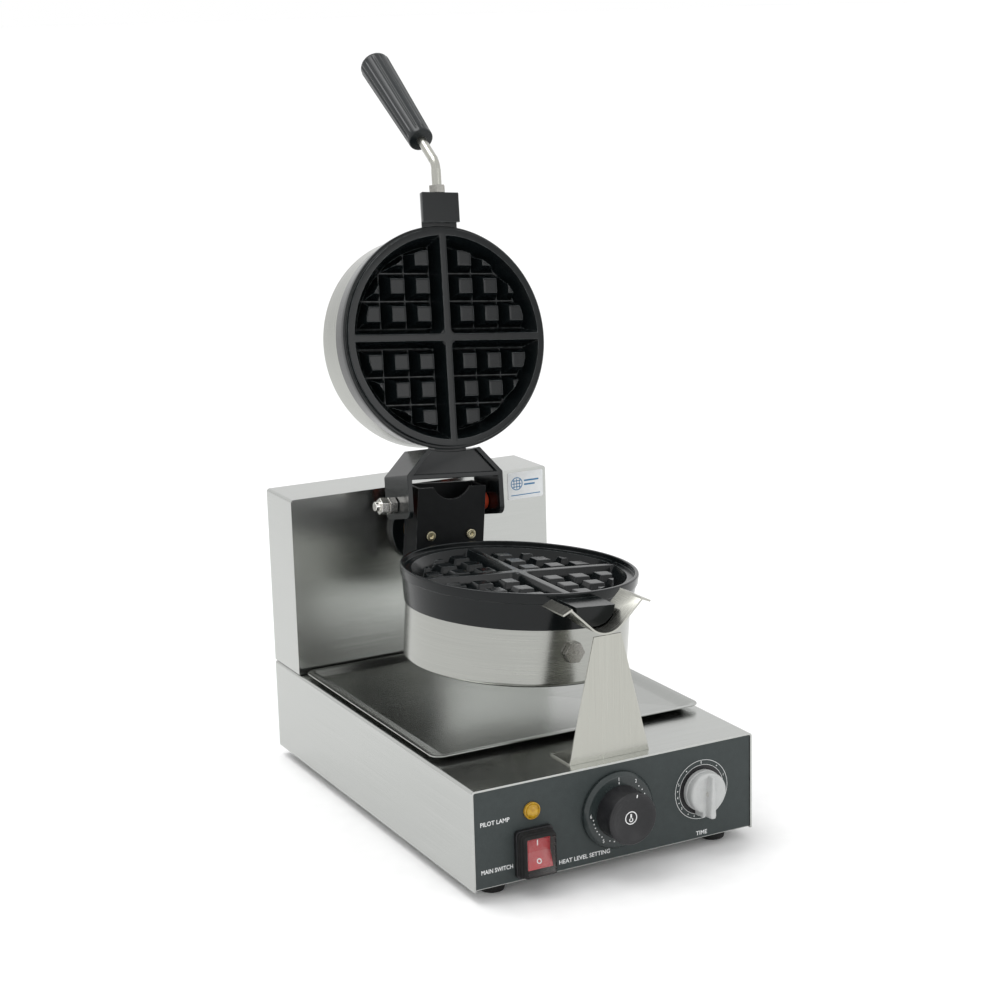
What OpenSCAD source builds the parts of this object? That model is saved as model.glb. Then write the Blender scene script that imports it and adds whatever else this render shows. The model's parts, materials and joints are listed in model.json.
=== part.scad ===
// Rotary waffle maker: a box base with a rear tower, a pair of round moulds that turn
// over together about a long horizontal shaft, and a lid mould that opens on a hinge.
// Millimetres, +Z up, front towards -Y.

/* [Base] */
// Width of the base and tower
base_w = 250; // [230:1:280]
// Depth of the base, front to back
base_d = 387; // [380:1:420]
// Height of the base box above its feet
base_h = 80; // [78:1:84]
// Sheet steel thickness
sheet = 1.5; // [1:0.1:2]
// Height of the rubber feet
foot_h = 9; // [6:1:20]
// Diameter of the rubber feet
foot_d = 22; // [18:1:26]

/* [Tower] */
// Height of the tower top above the base bottom
tower_h = 238; // [234:1:250]
// Distance of the tower front behind the base front
tower_y = 331; // [331:0.5:334]

/* [Turning head] */
// Height of the turning axis above the base bottom
axis_z = 198.4; // [198:0.1:199]
// How far the head rests turned from level, in degrees
head_roll = 4.6; // [0:0.1:8]
// Outer diameter of the hollow shaft
shaft_d = 40; // [36:1:40]
// Bore of the hollow shaft
shaft_bore = 30; // [24:1:32]

/* [Moulds] */
// Distance of the mould centre behind the base front
mould_y = 150.9; // [149:0.1:152]
// Outer radius of the lower mould rim
lower_rim_r = 97.7; // [97.2:0.1:98]
// Outer radius of the upper mould rim
upper_rim_r = 96.5; // [95:0.1:97]
// Radius of the waffle cavity at its mouth
cavity_r = 88; // [86:0.5:89]
// Radius of the waffle cavity at its floor
floor_r = 80; // [79:0.5:82]
// Depth of each waffle cavity
cavity_depth = 15.4; // [14:0.1:16]
// Spacing of the pegs
peg_pitch = 24; // [23:0.5:24.5]
// Height of the pegs above the cavity floor
peg_h = 13.6; // [10:0.1:14]
// Width of the cross that parts the waffle into quarters
rib_w = 6; // [4:0.5:8]

/* [Lid] */
// Distance of the lid hinge behind the base front
pivot_y = 293; // [292:0.1:294]
// Height of the lid hinge above the base bottom
pivot_z = 226.5; // [226:0.1:228]
// Angle to which the lid stands open, in degrees
lid_open = 102.5; // [95:0.5:104]
// Length of the handle grip
grip_len = 123; // [100:1:130]
// Angle at which the handle is bent up from the lid, in degrees
handle_bend = 46; // [30:1:50]

/* [Hidden] */
$fn = 96;

half_w = base_w / 2;
wall_gap = 0.2;

// moulds
lower_face = 197.4;
upper_face = 197.9;
lower_rim_z = 201.6;
upper_rim_z = 202;
skirt_z = 171;
skirt_r = 93;
casting_floor = 4;
lower_pan_z = 124.5;
lower_pan_r = 92;
upper_skirt_z = 225.6;
upper_pan_z = 258;
upper_pan_r = 92.6;
pan_wall = 1.2;
pan_corner = 4;
nest_r = 94.3;
spigot_r = 93.8;
lug_r = 17.5;
peg_first = 20.5;
peg_top = 12.7;
peg_base = 23.2;
rib_base = 16.4;

// tray
tray_w = 244;
tray_y0 = 68;
tray_y1 = 327;
tray_h = 5;
tray_rim = 12;
tray_wall = 1;

// controls
thermo_z = 41;
timer_r = 16.8;
timer_x = 77.7;
timer_z = 41.5;
switch_x = -74;
switch_z = 23;
pilot_x = -74.5;
pilot_z = 55.5;
panel_y = 0.8;
knob_shaft_d = 6;
rocker_tilt = 9;
rocker_pivot_y = 6;

// hinge
ear_x = 46;
ear_wall = 4.5;
plate_x = 32.6;
plate_wall = 3;
plate_y = 277;
plate_top = 243.6;
plate_screw_x = 19.3;
plate_screw_z = 201.5;
lug_bolt_x = 21.2;
lug_bolt_z = 183;
pin_d = 8;
run_gap = 0.05;

// handle
rod_d = 8;
rod_z = 203.4;
rod_bend_y = 6;
rod_bend_r = 14;
join = 0.4;
sleeve_r = rod_d / 2 + 0.2;
grip_gap = 29.3;
grip_r0 = 11;
grip_r1 = 14;

// gland
gland_x = 88;
gland_z = 34;
gland_len = 22;

foot_at = [for (x = [-100, 100], y = [20, base_d - 20]) [x, y]];

// The open lid's handle tip is the rearmost point, the thermostat knob the foremost
tip_out = rod_bend_y - rod_bend_r * sin(handle_bend) - (grip_gap + grip_len) * cos(handle_bend) - pivot_y;
tip_up = rod_z + rod_bend_r * (1 - cos(handle_bend)) + (grip_gap + grip_len) * sin(handle_bend) - pivot_z;
// The rounded end of the lowered grip stands this far behind the middle of its tip
tip_overhang = 5.44;
back_y = pivot_y + tip_out * cos(lid_open) + tip_up * sin(lid_open) + tip_overhang;
knob_front_y = -25;
mid_y = (back_y + knob_front_y) / 2;

module place() {
    translate([0, -mid_y, foot_h]) children();
}

// Everything on the turning head, rolled about the shaft's axis
module head() {
    place() translate([0, 0, axis_z]) rotate([0, head_roll, 0]) translate([0, 0, -axis_z]) children();
}

// Everything on the lid, drawn closed and swung open about the hinge
module lid() {
    head() translate([0, pivot_y, pivot_z]) rotate([-lid_open, 0, 0])
        translate([0, -pivot_y, -pivot_z]) children();
}

// Cylinder along +Y from y0 to y1
module rod_y(x, z, y0, y1, r, fn = 96) {
    translate([x, y1, z]) rotate([90, 0, 0]) cylinder(h = y1 - y0, r = r, $fn = fn);
}

// Cylinder along +X from x0 to x1
module rod_x(y, z, x0, x1, r, fn = 96) {
    translate([x0, y, z]) rotate([0, 90, 0]) cylinder(h = x1 - x0, r = r, $fn = fn);
}

// Box between two corners
module block(lo, hi) {
    translate(lo) cube(hi - lo);
}

module rounded_rect(w, d, r) {
    square([w - 2 * r, d], center = true);
    square([w, d - 2 * r], center = true);
    for (x = [-1, 1], y = [-1, 1]) translate([x * (w / 2 - r), y * (d / 2 - r)]) circle(r);
}

// Outline of a folded sheet box: square at the bottom, round at the two top corners
module arch(w, h, r) {
    translate([-w / 2, 0]) square([w, h - r]);
    translate([-w / 2 + r, 0]) square([w - 2 * r, h]);
    for (x = [-1, 1]) translate([x * (w / 2 - r), h - r]) circle(r);
}

// The arch outline run from y0 to y1, standing on z
module arch_run(w, h, r, y0, y1, z) {
    translate([0, y1, z]) rotate([90, 0, 0]) linear_extrude(y1 - y0) arch(w, h, r);
}

// ---- base ----

module base_shell() {
    slot_y0 = tower_y + 14;
    color("silver") place() difference() {
        union() {
            difference() {
                arch_run(base_w, base_h, 3, 0, base_d, 0);
                arch_run(base_w - 2 * sheet, base_h - sheet, 1.5, -1, base_d - sheet, -0.01);
            }
            for (s = [-1, 1]) translate([s * (half_w - sheet - 5), base_d / 2, 2])
                cube([10, base_d - 8, sheet], center = true);
        }
        block([-60, slot_y0, base_h - 5], [60, slot_y0 + 30, base_h + 5]);
        rod_y(gland_x, gland_z, base_d - 5, base_d + 5, 8.2);
        for (s = [-1, 1], y = [60, base_d / 2, base_d - 60])
            translate([s * (half_w - 6.5), y, -1]) cylinder(h = 8, r = 2);
    }
}

module front_panel() {
    color("#33383c") place() difference() {
        block([-half_w + sheet + wall_gap, panel_y, sheet],
            [half_w - sheet - wall_gap, panel_y + 1.5, base_h - sheet - wall_gap]);
        for (x = [0, timer_x]) rod_y(x, thermo_z, -1, 5, 5);
        rod_y(pilot_x, pilot_z, -1, 5, 5.2);
        block([switch_x - 14, -1, switch_z - 16.5], [switch_x + 14, 5, switch_z + 16.5]);
    }
}

module bottom_plate() {
    color("gainsboro") place() difference() {
        block([-half_w + sheet + wall_gap, 3, 0], [half_w - sheet - wall_gap, base_d - 2, 1.2]);
        for (i = [0:8], s = [-1, 1]) translate([s * 45 - 25, 120 + i * 14, -1]) cube([50, 5, 4]);
        for (p = foot_at) translate([p[0], p[1], -1]) cylinder(h = 4, r = 2.1);
        for (s = [-1, 1], y = [60, base_d / 2, base_d - 60])
            translate([s * (half_w - 6.5), y, -1]) cylinder(h = 4, r = 2);
    }
}

module bottom_plate_screws() {
    color("silver") place() for (s = [-1, 1], y = [60, base_d / 2, base_d - 60])
        translate([s * (half_w - 6.5), y, 0]) {
            translate([0, 0, -1.6]) cylinder(h = 1.6, r = 3.6);
            cylinder(h = 6, r = 2);
        }
}

module feet() {
    color("#1c1c1c") place() for (p = foot_at) translate([p[0], p[1], 0]) difference() {
        translate([0, 0, -foot_h]) cylinder(h = foot_h, r1 = foot_d / 2 - 1.5, r2 = foot_d / 2);
        translate([0, 0, -foot_h - 1]) cylinder(h = foot_h - 2.6, r = 4.6);
        translate([0, 0, -5]) cylinder(h = 6, r = 2.1);
    }
}

module foot_screws() {
    color("silver") place() for (p = foot_at) translate([p[0], p[1], 0]) {
        translate([0, 0, -5.2]) cylinder(h = 1.6, r = 4);
        translate([0, 0, -3.6]) cylinder(h = 9, r = 2);
    }
}

// ---- tower ----

module tower_gasket() {
    color("#202020") place() difference() {
        block([-half_w + 1, tower_y + 1, base_h], [half_w - 1, base_d - 1, base_h + 1]);
        block([-half_w + 5, tower_y + 5, base_h - 1], [half_w - 5, base_d - 5, base_h + 2]);
    }
}

module tower_shell() {
    z0 = base_h + 1;
    color("silver") place() difference() {
        union() {
            difference() {
                arch_run(base_w, tower_h - z0, 3, tower_y, base_d, z0);
                arch_run(base_w - 2 * sheet, tower_h - z0 - sheet, 1.5, tower_y + sheet, base_d + 1,
                    z0 - 0.01);
            }
            for (s = [-1, 1]) translate([s * (half_w - sheet - 5), base_d - 3.5, (tower_h + z0) / 2])
                cube([10, sheet, tower_h - z0 - 20], center = true);
        }
        rod_y(0, axis_z, tower_y - 1, tower_y + 5, 23.2);
        for (a = [45:90:359]) rod_y(27.5 * cos(a), axis_z + 27.5 * sin(a), tower_y - 1, tower_y + 5, 2.5);
        for (s = [-1, 1], z = [104, 160, 216]) rod_y(s * (half_w - 6.5), z, base_d - 8, base_d + 1, 2);
    }
}

module tower_back_cover() {
    color("gainsboro") place() difference() {
        block([-half_w + sheet + wall_gap, base_d - 2.75, base_h + 2],
            [half_w - sheet - wall_gap, base_d - 1.25, tower_h - sheet - 0.4]);
        for (i = [0:6], s = [-1, 1])
            block([s * 50 - 30, base_d - 5, 120 + i * 13], [s * 50 + 30, base_d + 1, 125 + i * 13]);
        for (s = [-1, 1], z = [104, 160, 216]) rod_y(s * (half_w - 6.5), z, base_d - 8, base_d + 1, 2);
    }
}

module tower_cover_screws() {
    color("silver") place() for (s = [-1, 1], z = [104, 160, 216]) {
        rod_y(s * (half_w - 6.5), z, base_d - 8, base_d - 1.25, 2);
        rod_y(s * (half_w - 6.5), z, base_d - 1.25, base_d + 0.5, 3.6);
    }
}

// ---- drip tray and front cradle ----

// Sheet tray with a flat floor and a sloped rim
module drip_tray() {
    cy = (tray_y0 + tray_y1) / 2;
    d = tray_y1 - tray_y0;
    z0 = base_h + 0.1;
    floor_w = tray_w - 2 * tray_rim;
    floor_d = d - 2 * tray_rim;
    color("silver") place() translate([0, cy, z0]) {
        linear_extrude(tray_wall) rounded_rect(floor_w, floor_d, 6);
        translate([0, 0, tray_h - tray_wall]) linear_extrude(tray_wall) difference() {
            rounded_rect(tray_w, d, 10);
            rounded_rect(floor_w, floor_d, 6);
        }
        linear_extrude(tray_h) difference() {
            rounded_rect(floor_w + 2, floor_d + 2, 7);
            rounded_rect(floor_w, floor_d, 6);
        }
    }
}

module cradle_stand() {
    y0 = 10;
    color("silver") place() {
        translate([0, y0 + sheet, 0]) rotate([90, 0, 0]) linear_extrude(sheet)
            polygon([[-35.5, base_h], [35.5, base_h], [12, 178.6], [-12, 178.6]]);
        block([-35.5, y0 + sheet, base_h], [35.5, 40, base_h + sheet]);
    }
}

// Bent strip: a round-bottomed trough with wings and turned-down lips
module cradle_trough() {
    inner_r = lug_r + 0.5;
    color("silver") place() translate([0, 42, axis_z]) rotate([90, 0, 0]) linear_extrude(32) {
        difference() {
            circle(inner_r + sheet);
            circle(inner_r);
            translate([-40, -inner_r * cos(44)]) square([80, 60]);
        }
        for (s = [-1, 1]) mirror([s < 0 ? 1 : 0, 0]) {
            translate([inner_r * sin(44), -inner_r * cos(44)])
                rotate(44) translate([0, -sheet]) square([26, sheet]);
            translate([inner_r * sin(44) + 26 * cos(44), -inner_r * cos(44) + 26 * sin(44)])
                rotate(-24) translate([-0.8, -sheet]) square([9, sheet]);
        }
    }
}

// ---- shaft bearing ----

module bearing_housing() {
    color("#3a3d40") place() difference() {
        union() {
            rod_y(0, axis_z, tower_y - 6, tower_y, 33);
            rod_y(0, axis_z, tower_y, tower_y + 31, 23);
        }
        rod_y(0, axis_z, tower_y - 7, tower_y + 32, 22);
        for (a = [45:90:359]) rod_y(27.5 * cos(a), axis_z + 27.5 * sin(a), tower_y - 8, tower_y + 5, 2.5);
    }
}

module bearing_bush() {
    color("#b08d57") place() difference() {
        rod_y(0, axis_z, tower_y - 6, tower_y + 31, 22);
        rod_y(0, axis_z, tower_y - 7, tower_y + 32, shaft_d / 2 + run_gap);
    }
}

module housing_screws() {
    color("silver") place() for (a = [45:90:359]) {
        rod_y(27.5 * cos(a), axis_z + 27.5 * sin(a), tower_y - 8.5, tower_y - 6, 4);
        rod_y(27.5 * cos(a), axis_z + 27.5 * sin(a), tower_y - 6, tower_y + 6, 2.5);
    }
}

// Fixed pin that the collar's half flange meets at either end of its half turn
module flip_stop() {
    color("dimgray") place() {
        block([-8, tower_y + sheet, axis_z - 40], [8, tower_y + 30, axis_z - 34]);
        block([-8, tower_y + 24, axis_z - 34], [8, tower_y + 30, axis_z - 23.4]);
        rod_y(0, axis_z - 27.5, tower_y + 30, tower_y + 41, 4);
    }
}

module terminal_block() {
    color("ivory") place() difference() {
        block([50, 250, sheet], [110, 275, 24]);
        for (i = [0:4]) translate([56 + i * 12, 262, 12]) cylinder(h = 20, r = 3);
    }
}

// ---- controls ----

module switch_body() {
    color("#151515") place() difference() {
        block([switch_x - 13.5, panel_y + 1.5, switch_z - 15.5], [switch_x + 13.5, 30, switch_z + 15.5]);
        block([switch_x - 11.5, 0, switch_z - 14], [switch_x + 11.5, 24, switch_z + 14]);
        rod_x(rocker_pivot_y, switch_z, switch_x - 13, switch_x + 13, 1.5 + run_gap);
    }
}

module switch_bezel() {
    color("#151515") place() difference() {
        translate([switch_x, panel_y, switch_z]) rotate([90, 0, 0])
            linear_extrude(4.2) rounded_rect(32, 38, 3);
        translate([switch_x, panel_y + 1, switch_z]) rotate([90, 0, 0])
            linear_extrude(9) rounded_rect(24.4, 32, 1.5);
    }
}

// Clear boot over the rocker
module switch_cover() {
    y0 = panel_y - 4.2;
    color("white", 0.4) place() translate([switch_x, y0, switch_z]) rotate([90, 0, 0]) difference() {
        union() {
            linear_extrude(1) rounded_rect(30, 36, 3);
            linear_extrude(11.4) rounded_rect(27, 34, 3);
        }
        translate([0, 0, -1]) linear_extrude(11.5) rounded_rect(25.2, 32.2, 2);
    }
}

module switch_rocker() {
    color("crimson") place() translate([0, rocker_pivot_y, switch_z]) rotate([-rocker_tilt, 0, 0])
        translate([0, -rocker_pivot_y, -switch_z]) {
            translate([switch_x - 11, 0, switch_z]) rotate([90, 0, 90]) linear_extrude(22)
                polygon([[-9, 13], [-6.5, 0], [-9, -13], [0, -11], [10, -6], [10, 6], [0, 11]]);
            rod_x(rocker_pivot_y, switch_z, switch_x - 12.8, switch_x + 12.8, 1.5);
        }
}

module pilot_body() {
    color("#151515") place() {
        rod_y(pilot_x, pilot_z, panel_y, 20, 5.2);
        rod_y(pilot_x, pilot_z, panel_y + 1.5, 5, 8);
    }
}

module pilot_lens() {
    color("orange") place() {
        rod_y(pilot_x, pilot_z, panel_y - 1.6, panel_y, 6.8);
        difference() {
            translate([pilot_x, panel_y - 1.6 + 3, pilot_z]) sphere(r = 6.8);
            rod_y(pilot_x, pilot_z, panel_y - 1.6, panel_y + 12, 9);
        }
    }
}

module thermostat_body() {
    color("gainsboro") place() difference() {
        block([-19, panel_y + 1.5, thermo_z - 17], [19, 28, thermo_z + 17]);
        rod_y(0, thermo_z, 0, 12, knob_shaft_d / 2 + run_gap);
    }
}

module thermostat_shaft() {
    color("silver") place() rod_y(0, thermo_z, -16, 11, knob_shaft_d / 2);
}

module thermostat_skirt() {
    color("#1b1b1b") place() difference() {
        union() {
            rod_y(0, thermo_z, -2.2, 0.3, 31);
            translate([0, -2.2, thermo_z]) rotate([90, 0, 0]) cylinder(h = 2.8, r1 = 31, r2 = 28.5);
        }
        rod_y(0, thermo_z, -6, 1, knob_shaft_d / 2);
    }
}

// Round grip with a dished cap
module thermostat_grip() {
    color("#1b1b1b") place() difference() {
        union() {
            rod_y(0, thermo_z, -23, -5, 21);
            translate([0, -23, thermo_z]) rotate([90, 0, 0]) cylinder(h = 2, r1 = 21, r2 = 19);
        }
        translate([0, -57.5, thermo_z]) sphere(r = 37);
        rod_y(0, thermo_z, -16, 0, knob_shaft_d / 2);
    }
}

module timer_body() {
    color("gainsboro") place() difference() {
        block([timer_x - 22, panel_y + 1.5, timer_z - 22], [timer_x + 22, 42, timer_z + 22]);
        rod_y(timer_x, timer_z, 0, 12, knob_shaft_d / 2 + run_gap);
    }
}

module timer_shaft() {
    color("silver") place() rod_y(timer_x, timer_z, -13, 11, knob_shaft_d / 2);
}

module timer_knob() {
    color("lightgray") place() difference() {
        union() {
            rod_y(timer_x, timer_z, -9, 0.2, timer_r);
            translate([timer_x, -9, timer_z]) rotate([90, 0, 0])
                cylinder(h = 2, r1 = timer_r, r2 = timer_r - 1.5);
            translate([timer_x, -11, timer_z]) rotate([90, 0, 0]) linear_extrude(6)
                polygon([[-1.4, 15], [1.4, 15], [3.6, -17], [2.4, -19.2], [-2.4, -19.2], [-3.6, -17]]);
            translate([timer_x, -2, timer_z]) rotate([90, 0, 0]) linear_extrude(9)
                polygon([[9.5, -10], [7.5, -18], [5.5, -20], [-5.5, -20], [-7.5, -18], [-9.5, -10]]);
        }
        rod_y(timer_x, timer_z, -13, 1, knob_shaft_d / 2);
    }
}

module blank_label() {
    color("white") place() block([86, tower_y - 0.4, 210], [122, tower_y, 235]);
}

module cable_gland() {
    color("#151515") place() difference() {
        union() {
            rod_y(gland_x, gland_z, base_d - 8, base_d, 8);
            rod_y(gland_x, gland_z, base_d, base_d + 8, 12, 6);
            rod_y(gland_x, gland_z, base_d + 8, base_d + gland_len - 8, 10);
        }
        rod_y(gland_x, gland_z, base_d - 12, base_d + gland_len + 1, 4);
    }
}

module gland_nut() {
    color("#151515") place() difference() {
        rod_y(gland_x, gland_z, base_d - sheet - 5, base_d - sheet, 12, 6);
        rod_y(gland_x, gland_z, base_d - 12, base_d + 1, 8);
    }
}

// ---- turning head ----

module hollow_shaft() {
    color("silver") head() difference() {
        rod_y(0, axis_z, plate_y + 9, tower_y + 42, shaft_d / 2);
        rod_y(0, axis_z, plate_y + 8, tower_y + 43, shaft_bore / 2);
        block([-9, 300, axis_z + 8], [9, 316, axis_z + 25]);
    }
}

// Clamp collar whose half flange turns against the stop pin
module shaft_collar() {
    y0 = tower_y + 32;
    color("dimgray") head() difference() {
        union() {
            rod_y(0, axis_z, y0, y0 + 8, 23);
            difference() {
                rod_y(0, axis_z, y0, y0 + 8, 31);
                block([-4.4, y0 - 1, axis_z - 40], [40, y0 + 9, axis_z + 40]);
            }
        }
        rod_y(0, axis_z, y0 - 1, y0 + 9, shaft_d / 2);
    }
}

module hub_plate() {
    color("#3a3d40") head() difference() {
        block([-29, plate_y + 3, 172], [29, plate_y + 9, 221]);
        for (s = [-1, 1]) rod_y(s * plate_screw_x, plate_screw_z, plate_y, plate_y + 12, 2.5);
        for (s = [-1, 1]) rod_y(s * lug_bolt_x, lug_bolt_z, plate_y, plate_y + 12, 3);
    }
}

// Folded plate: notched face, two side cheeks that carry the hinge pin and a web behind them
module hinge_plate() {
    notch_half = 17.5;
    notch_deep = 10.7;
    notch_r = (notch_half * notch_half + notch_deep * notch_deep) / (2 * notch_deep);
    color("#17191b") head() difference() {
        union() {
            block([-plate_x, plate_y, 165], [plate_x, plate_y + plate_wall, plate_top]);
            for (s = [-1, 1])
                translate([s * (plate_x - plate_wall / 2), plate_y + 13, (165 + plate_top) / 2])
                    cube([plate_wall, 24, plate_top - 165], center = true);
            block([0.1 - plate_x, plate_y + 21, 227], [plate_x - 0.1, plate_y + 24, plate_top]);
        }
        rod_y(0, plate_top - notch_deep + notch_r, plate_y - 1, plate_y + 5, notch_r);
        for (s = [-1, 1]) rod_y(s * plate_screw_x, plate_screw_z, plate_y - 1, plate_y + 12, 2.5);
        for (s = [-1, 1]) rod_y(s * lug_bolt_x, lug_bolt_z, plate_y - 1, plate_y + 12, 3);
        rod_x(pivot_y, pivot_z, -60, 60, pin_d / 2);
    }
}

module hinge_plate_screws() {
    color("#d9cf9a") head() for (s = [-1, 1]) {
        difference() {
            rod_y(s * plate_screw_x, plate_screw_z, plate_y - 2.4, plate_y, 4.2);
            rod_y(s * plate_screw_x, plate_screw_z, plate_y - 3, plate_y - 1, 1.9, 6);
        }
        rod_y(s * plate_screw_x, plate_screw_z, plate_y, plate_y + 9, 2.5);
    }
}

module lug_bolts() {
    color("silver") head() for (s = [-1, 1]) {
        rod_y(s * lug_bolt_x, lug_bolt_z, plate_y + 9, plate_y + 13, 5.8, 6);
        rod_y(s * lug_bolt_x, lug_bolt_z, plate_y - 16, plate_y + 9, 3);
    }
}

// One square peg with sloped sides, standing on z = 0
module peg(x, y) {
    side = [[-peg_base / 2, 0], [peg_base / 2, 0], [peg_top / 2, peg_h], [-peg_top / 2, peg_h]];
    translate([x, y, 0]) intersection() {
        translate([0, peg_base / 2, 0]) rotate([90, 0, 0]) linear_extrude(peg_base) polygon(side);
        translate([-peg_base / 2, 0, 0]) rotate([90, 0, 90]) linear_extrude(peg_base) polygon(side);
    }
}

// Cross and pegs of one waffle face, drawn with the parting face at z = 0
module waffle_face() {
    foot = -cavity_depth - 0.5;
    intersection() {
        union() {
            for (a = [0, 90]) rotate([90, 0, 90 + a]) translate([0, 0, -cavity_r]) linear_extrude(2 * cavity_r)
                polygon([[-rib_base / 2, foot], [rib_base / 2, foot], [rib_w / 2, 0], [-rib_w / 2, 0]]);
        }
        translate([0, 0, -cavity_depth - 1]) cylinder(h = cavity_depth + 1, r = cavity_r + 0.6);
    }
    intersection() {
        union() {
            for (sx = [-1, 1], sy = [-1, 1], j = [0:2], i = [0:2 - j]) translate([0, 0, -cavity_depth])
                peg(sx * (peg_first + i * peg_pitch), sy * (peg_first + j * peg_pitch));
        }
        translate([0, 0, -cavity_depth - 1]) cylinder(h = cavity_depth + 1, r = floor_r);
    }
}

// Space of the waffle cavity, with its mouth at z = 0
module cavity() {
    translate([0, 0, -cavity_depth]) cylinder(h = cavity_depth, r1 = floor_r, r2 = cavity_r);
}

module lower_mould() {
    floor_z = lower_face - cavity_depth;
    color("#4a4f52") head() {
        difference() {
            union() {
                translate([0, mould_y, skirt_z])
                    cylinder(h = lower_rim_z - skirt_z, r1 = skirt_r, r2 = lower_rim_r);
                intersection() {
                    rod_y(0, axis_z, 27, 66, lug_r);
                    block([-30, 20, 150], [30, 70, lower_face]);
                }
                block([-26, 236, skirt_z + 1], [26, plate_y, 190]);
            }
            translate([0, mould_y, lower_face]) cylinder(h = 20, r = nest_r);
            translate([0, mould_y, lower_face]) cavity();
            translate([0, mould_y, skirt_z - 1])
                cylinder(h = floor_z - casting_floor - skirt_z + 1, r = 87);
            for (s = [-1, 1]) rod_y(s * lug_bolt_x, lug_bolt_z, plate_y - 16, plate_y + 1, 3);
            translate([0, mould_y, floor_z - casting_floor - 1]) cylinder(h = 3, r = 4);
        }
        translate([0, mould_y, lower_face]) waffle_face();
    }
}

// Round-cornered pan profile: closed at z = 0, open at z = h
module pan(r, h, wall, corner) {
    rotate_extrude() difference() {
        union() {
            square([r - corner, h]);
            translate([0, corner]) square([r, h - corner]);
            translate([r - corner, corner]) circle(corner);
        }
        translate([-1, wall]) square([r - corner + 1, h]);
        translate([-1, corner]) square([r - wall + 1, h]);
        translate([r - corner, corner]) circle(corner - wall);
        translate([-2 * corner, -1]) square([2 * corner, h + 2]);
    }
}

module lower_shroud() {
    color("silver") head() difference() {
        translate([0, mould_y, lower_pan_z]) pan(lower_pan_r, skirt_z - lower_pan_z, pan_wall, pan_corner);
        rod_y(0, 153, 50, 70, 4);
        translate([0, mould_y, lower_pan_z - 1]) cylinder(h = 5, r = 4);
    }
}

module heater_ring() {
    rotate_extrude() translate([62, 0]) circle(3.9);
    for (s = [-1, 1]) translate([s * 12, -60.8, -22]) cylinder(h = 20, r = 3);
}

module lower_heater() {
    z = lower_face - cavity_depth - casting_floor - 3.9;
    color("#5b4a42") head() translate([0, mould_y, z]) heater_ring();
}

module insulation(h) {
    difference() {
        cylinder(h = h, r = 88);
        translate([0, 0, -1]) cylinder(h = h + 2, r = 5);
        for (s = [-1, 1]) translate([s * 12, -60.8, -1]) cylinder(h = h + 2, r = 4);
    }
}

module lower_insulation() {
    color("beige") head() translate([0, mould_y, 153]) insulation(12);
}

module lower_shroud_bolts() {
    y0 = mould_y - lower_pan_r;
    color("silver") head() {
        rod_y(0, 153, y0 - 5, y0, 9, 6);
        rod_y(0, 153, y0, y0 + 3.6, 4);
        translate([0, mould_y, lower_pan_z - 6]) cylinder(h = 6, r = 7.5, $fn = 6);
        translate([0, mould_y, lower_pan_z])
            cylinder(h = lower_face - cavity_depth - casting_floor + 1 - lower_pan_z, r = 4);
    }
}

module hinge_pin() {
    color("silver") head() {
        rod_x(pivot_y, pivot_z, -66, 47, pin_d / 2);
        rod_x(pivot_y, pivot_z, 46.6, 52, 7.5, 6);
    }
}

module hinge_nuts() {
    color("silver") head() for (x = [-53.6, -61.4]) difference() {
        rod_x(pivot_y, pivot_z, x, x + 6.8, 7.5, 6);
        rod_x(pivot_y, pivot_z, x - 1, x + 8, pin_d / 2);
    }
}

module silicone_bushes() {
    color("orangered") head() for (s = [-1, 1]) difference() {
        rod_x(pivot_y, pivot_z, s > 0 ? plate_x : -41.2, s > 0 ? 41.2 : -plate_x, 7.6);
        rod_x(pivot_y, pivot_z, -50, 50, pin_d / 2);
    }
}

// ---- lid, drawn closed ----

module lid_bracket() {
    z0 = 199.4;
    z1 = 247;
    end_y = 305;
    in_x = ear_x - ear_wall;
    color("#3d4144") lid() difference() {
        intersection() {
            union() {
                translate([0, 0, z0]) linear_extrude(z1 - z0) difference() {
                    polygon([[-ear_x, end_y], [ear_x, end_y], [ear_x, 268], [23, 244], [-23, 244],
                        [-ear_x, 268]]);
                    polygon([[-in_x, end_y + 1], [in_x, end_y + 1], [in_x, 269.8], [19, 246], [-19, 246],
                        [-in_x, 269.8]]);
                }
                translate([0, 0, z0 + 3]) linear_extrude(4)
                    polygon([[-42, 271], [42, 271], [42, 268], [22, 245], [-22, 245], [-42, 268]]);
                block([-42, 268, z0], [42, 272, z0 + 9]);
            }
            // side outline with round heels
            translate([-60, 0, 0]) rotate([90, 0, 90]) linear_extrude(120) {
                translate([240, z0]) square([end_y - 7 - 240, z1 - z0]);
                translate([240, z0 + 7]) square([end_y - 240, z1 - z0 - 14]);
                for (z = [z0 + 7, z1 - 7]) translate([end_y - 7, z]) circle(7);
            }
        }
        translate([0, mould_y, 150]) cylinder(h = 200, r = 98.4);
        rod_x(pivot_y, pivot_z, -60, 60, pin_d / 2 + run_gap);
        for (s = [-1, 1]) translate([s * 8, 257, z0 + 4]) cylinder(h = 10, r = 2.5);
    }
}

module lid_bracket_screws() {
    color("silver") lid() for (s = [-1, 1]) translate([s * 8, 257, 0]) {
        translate([0, 0, 203.4]) cylinder(h = 16.6, r = 2.5);
        translate([0, 0, 220]) cylinder(h = 4.5, r = 4.3);
    }
}

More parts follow.
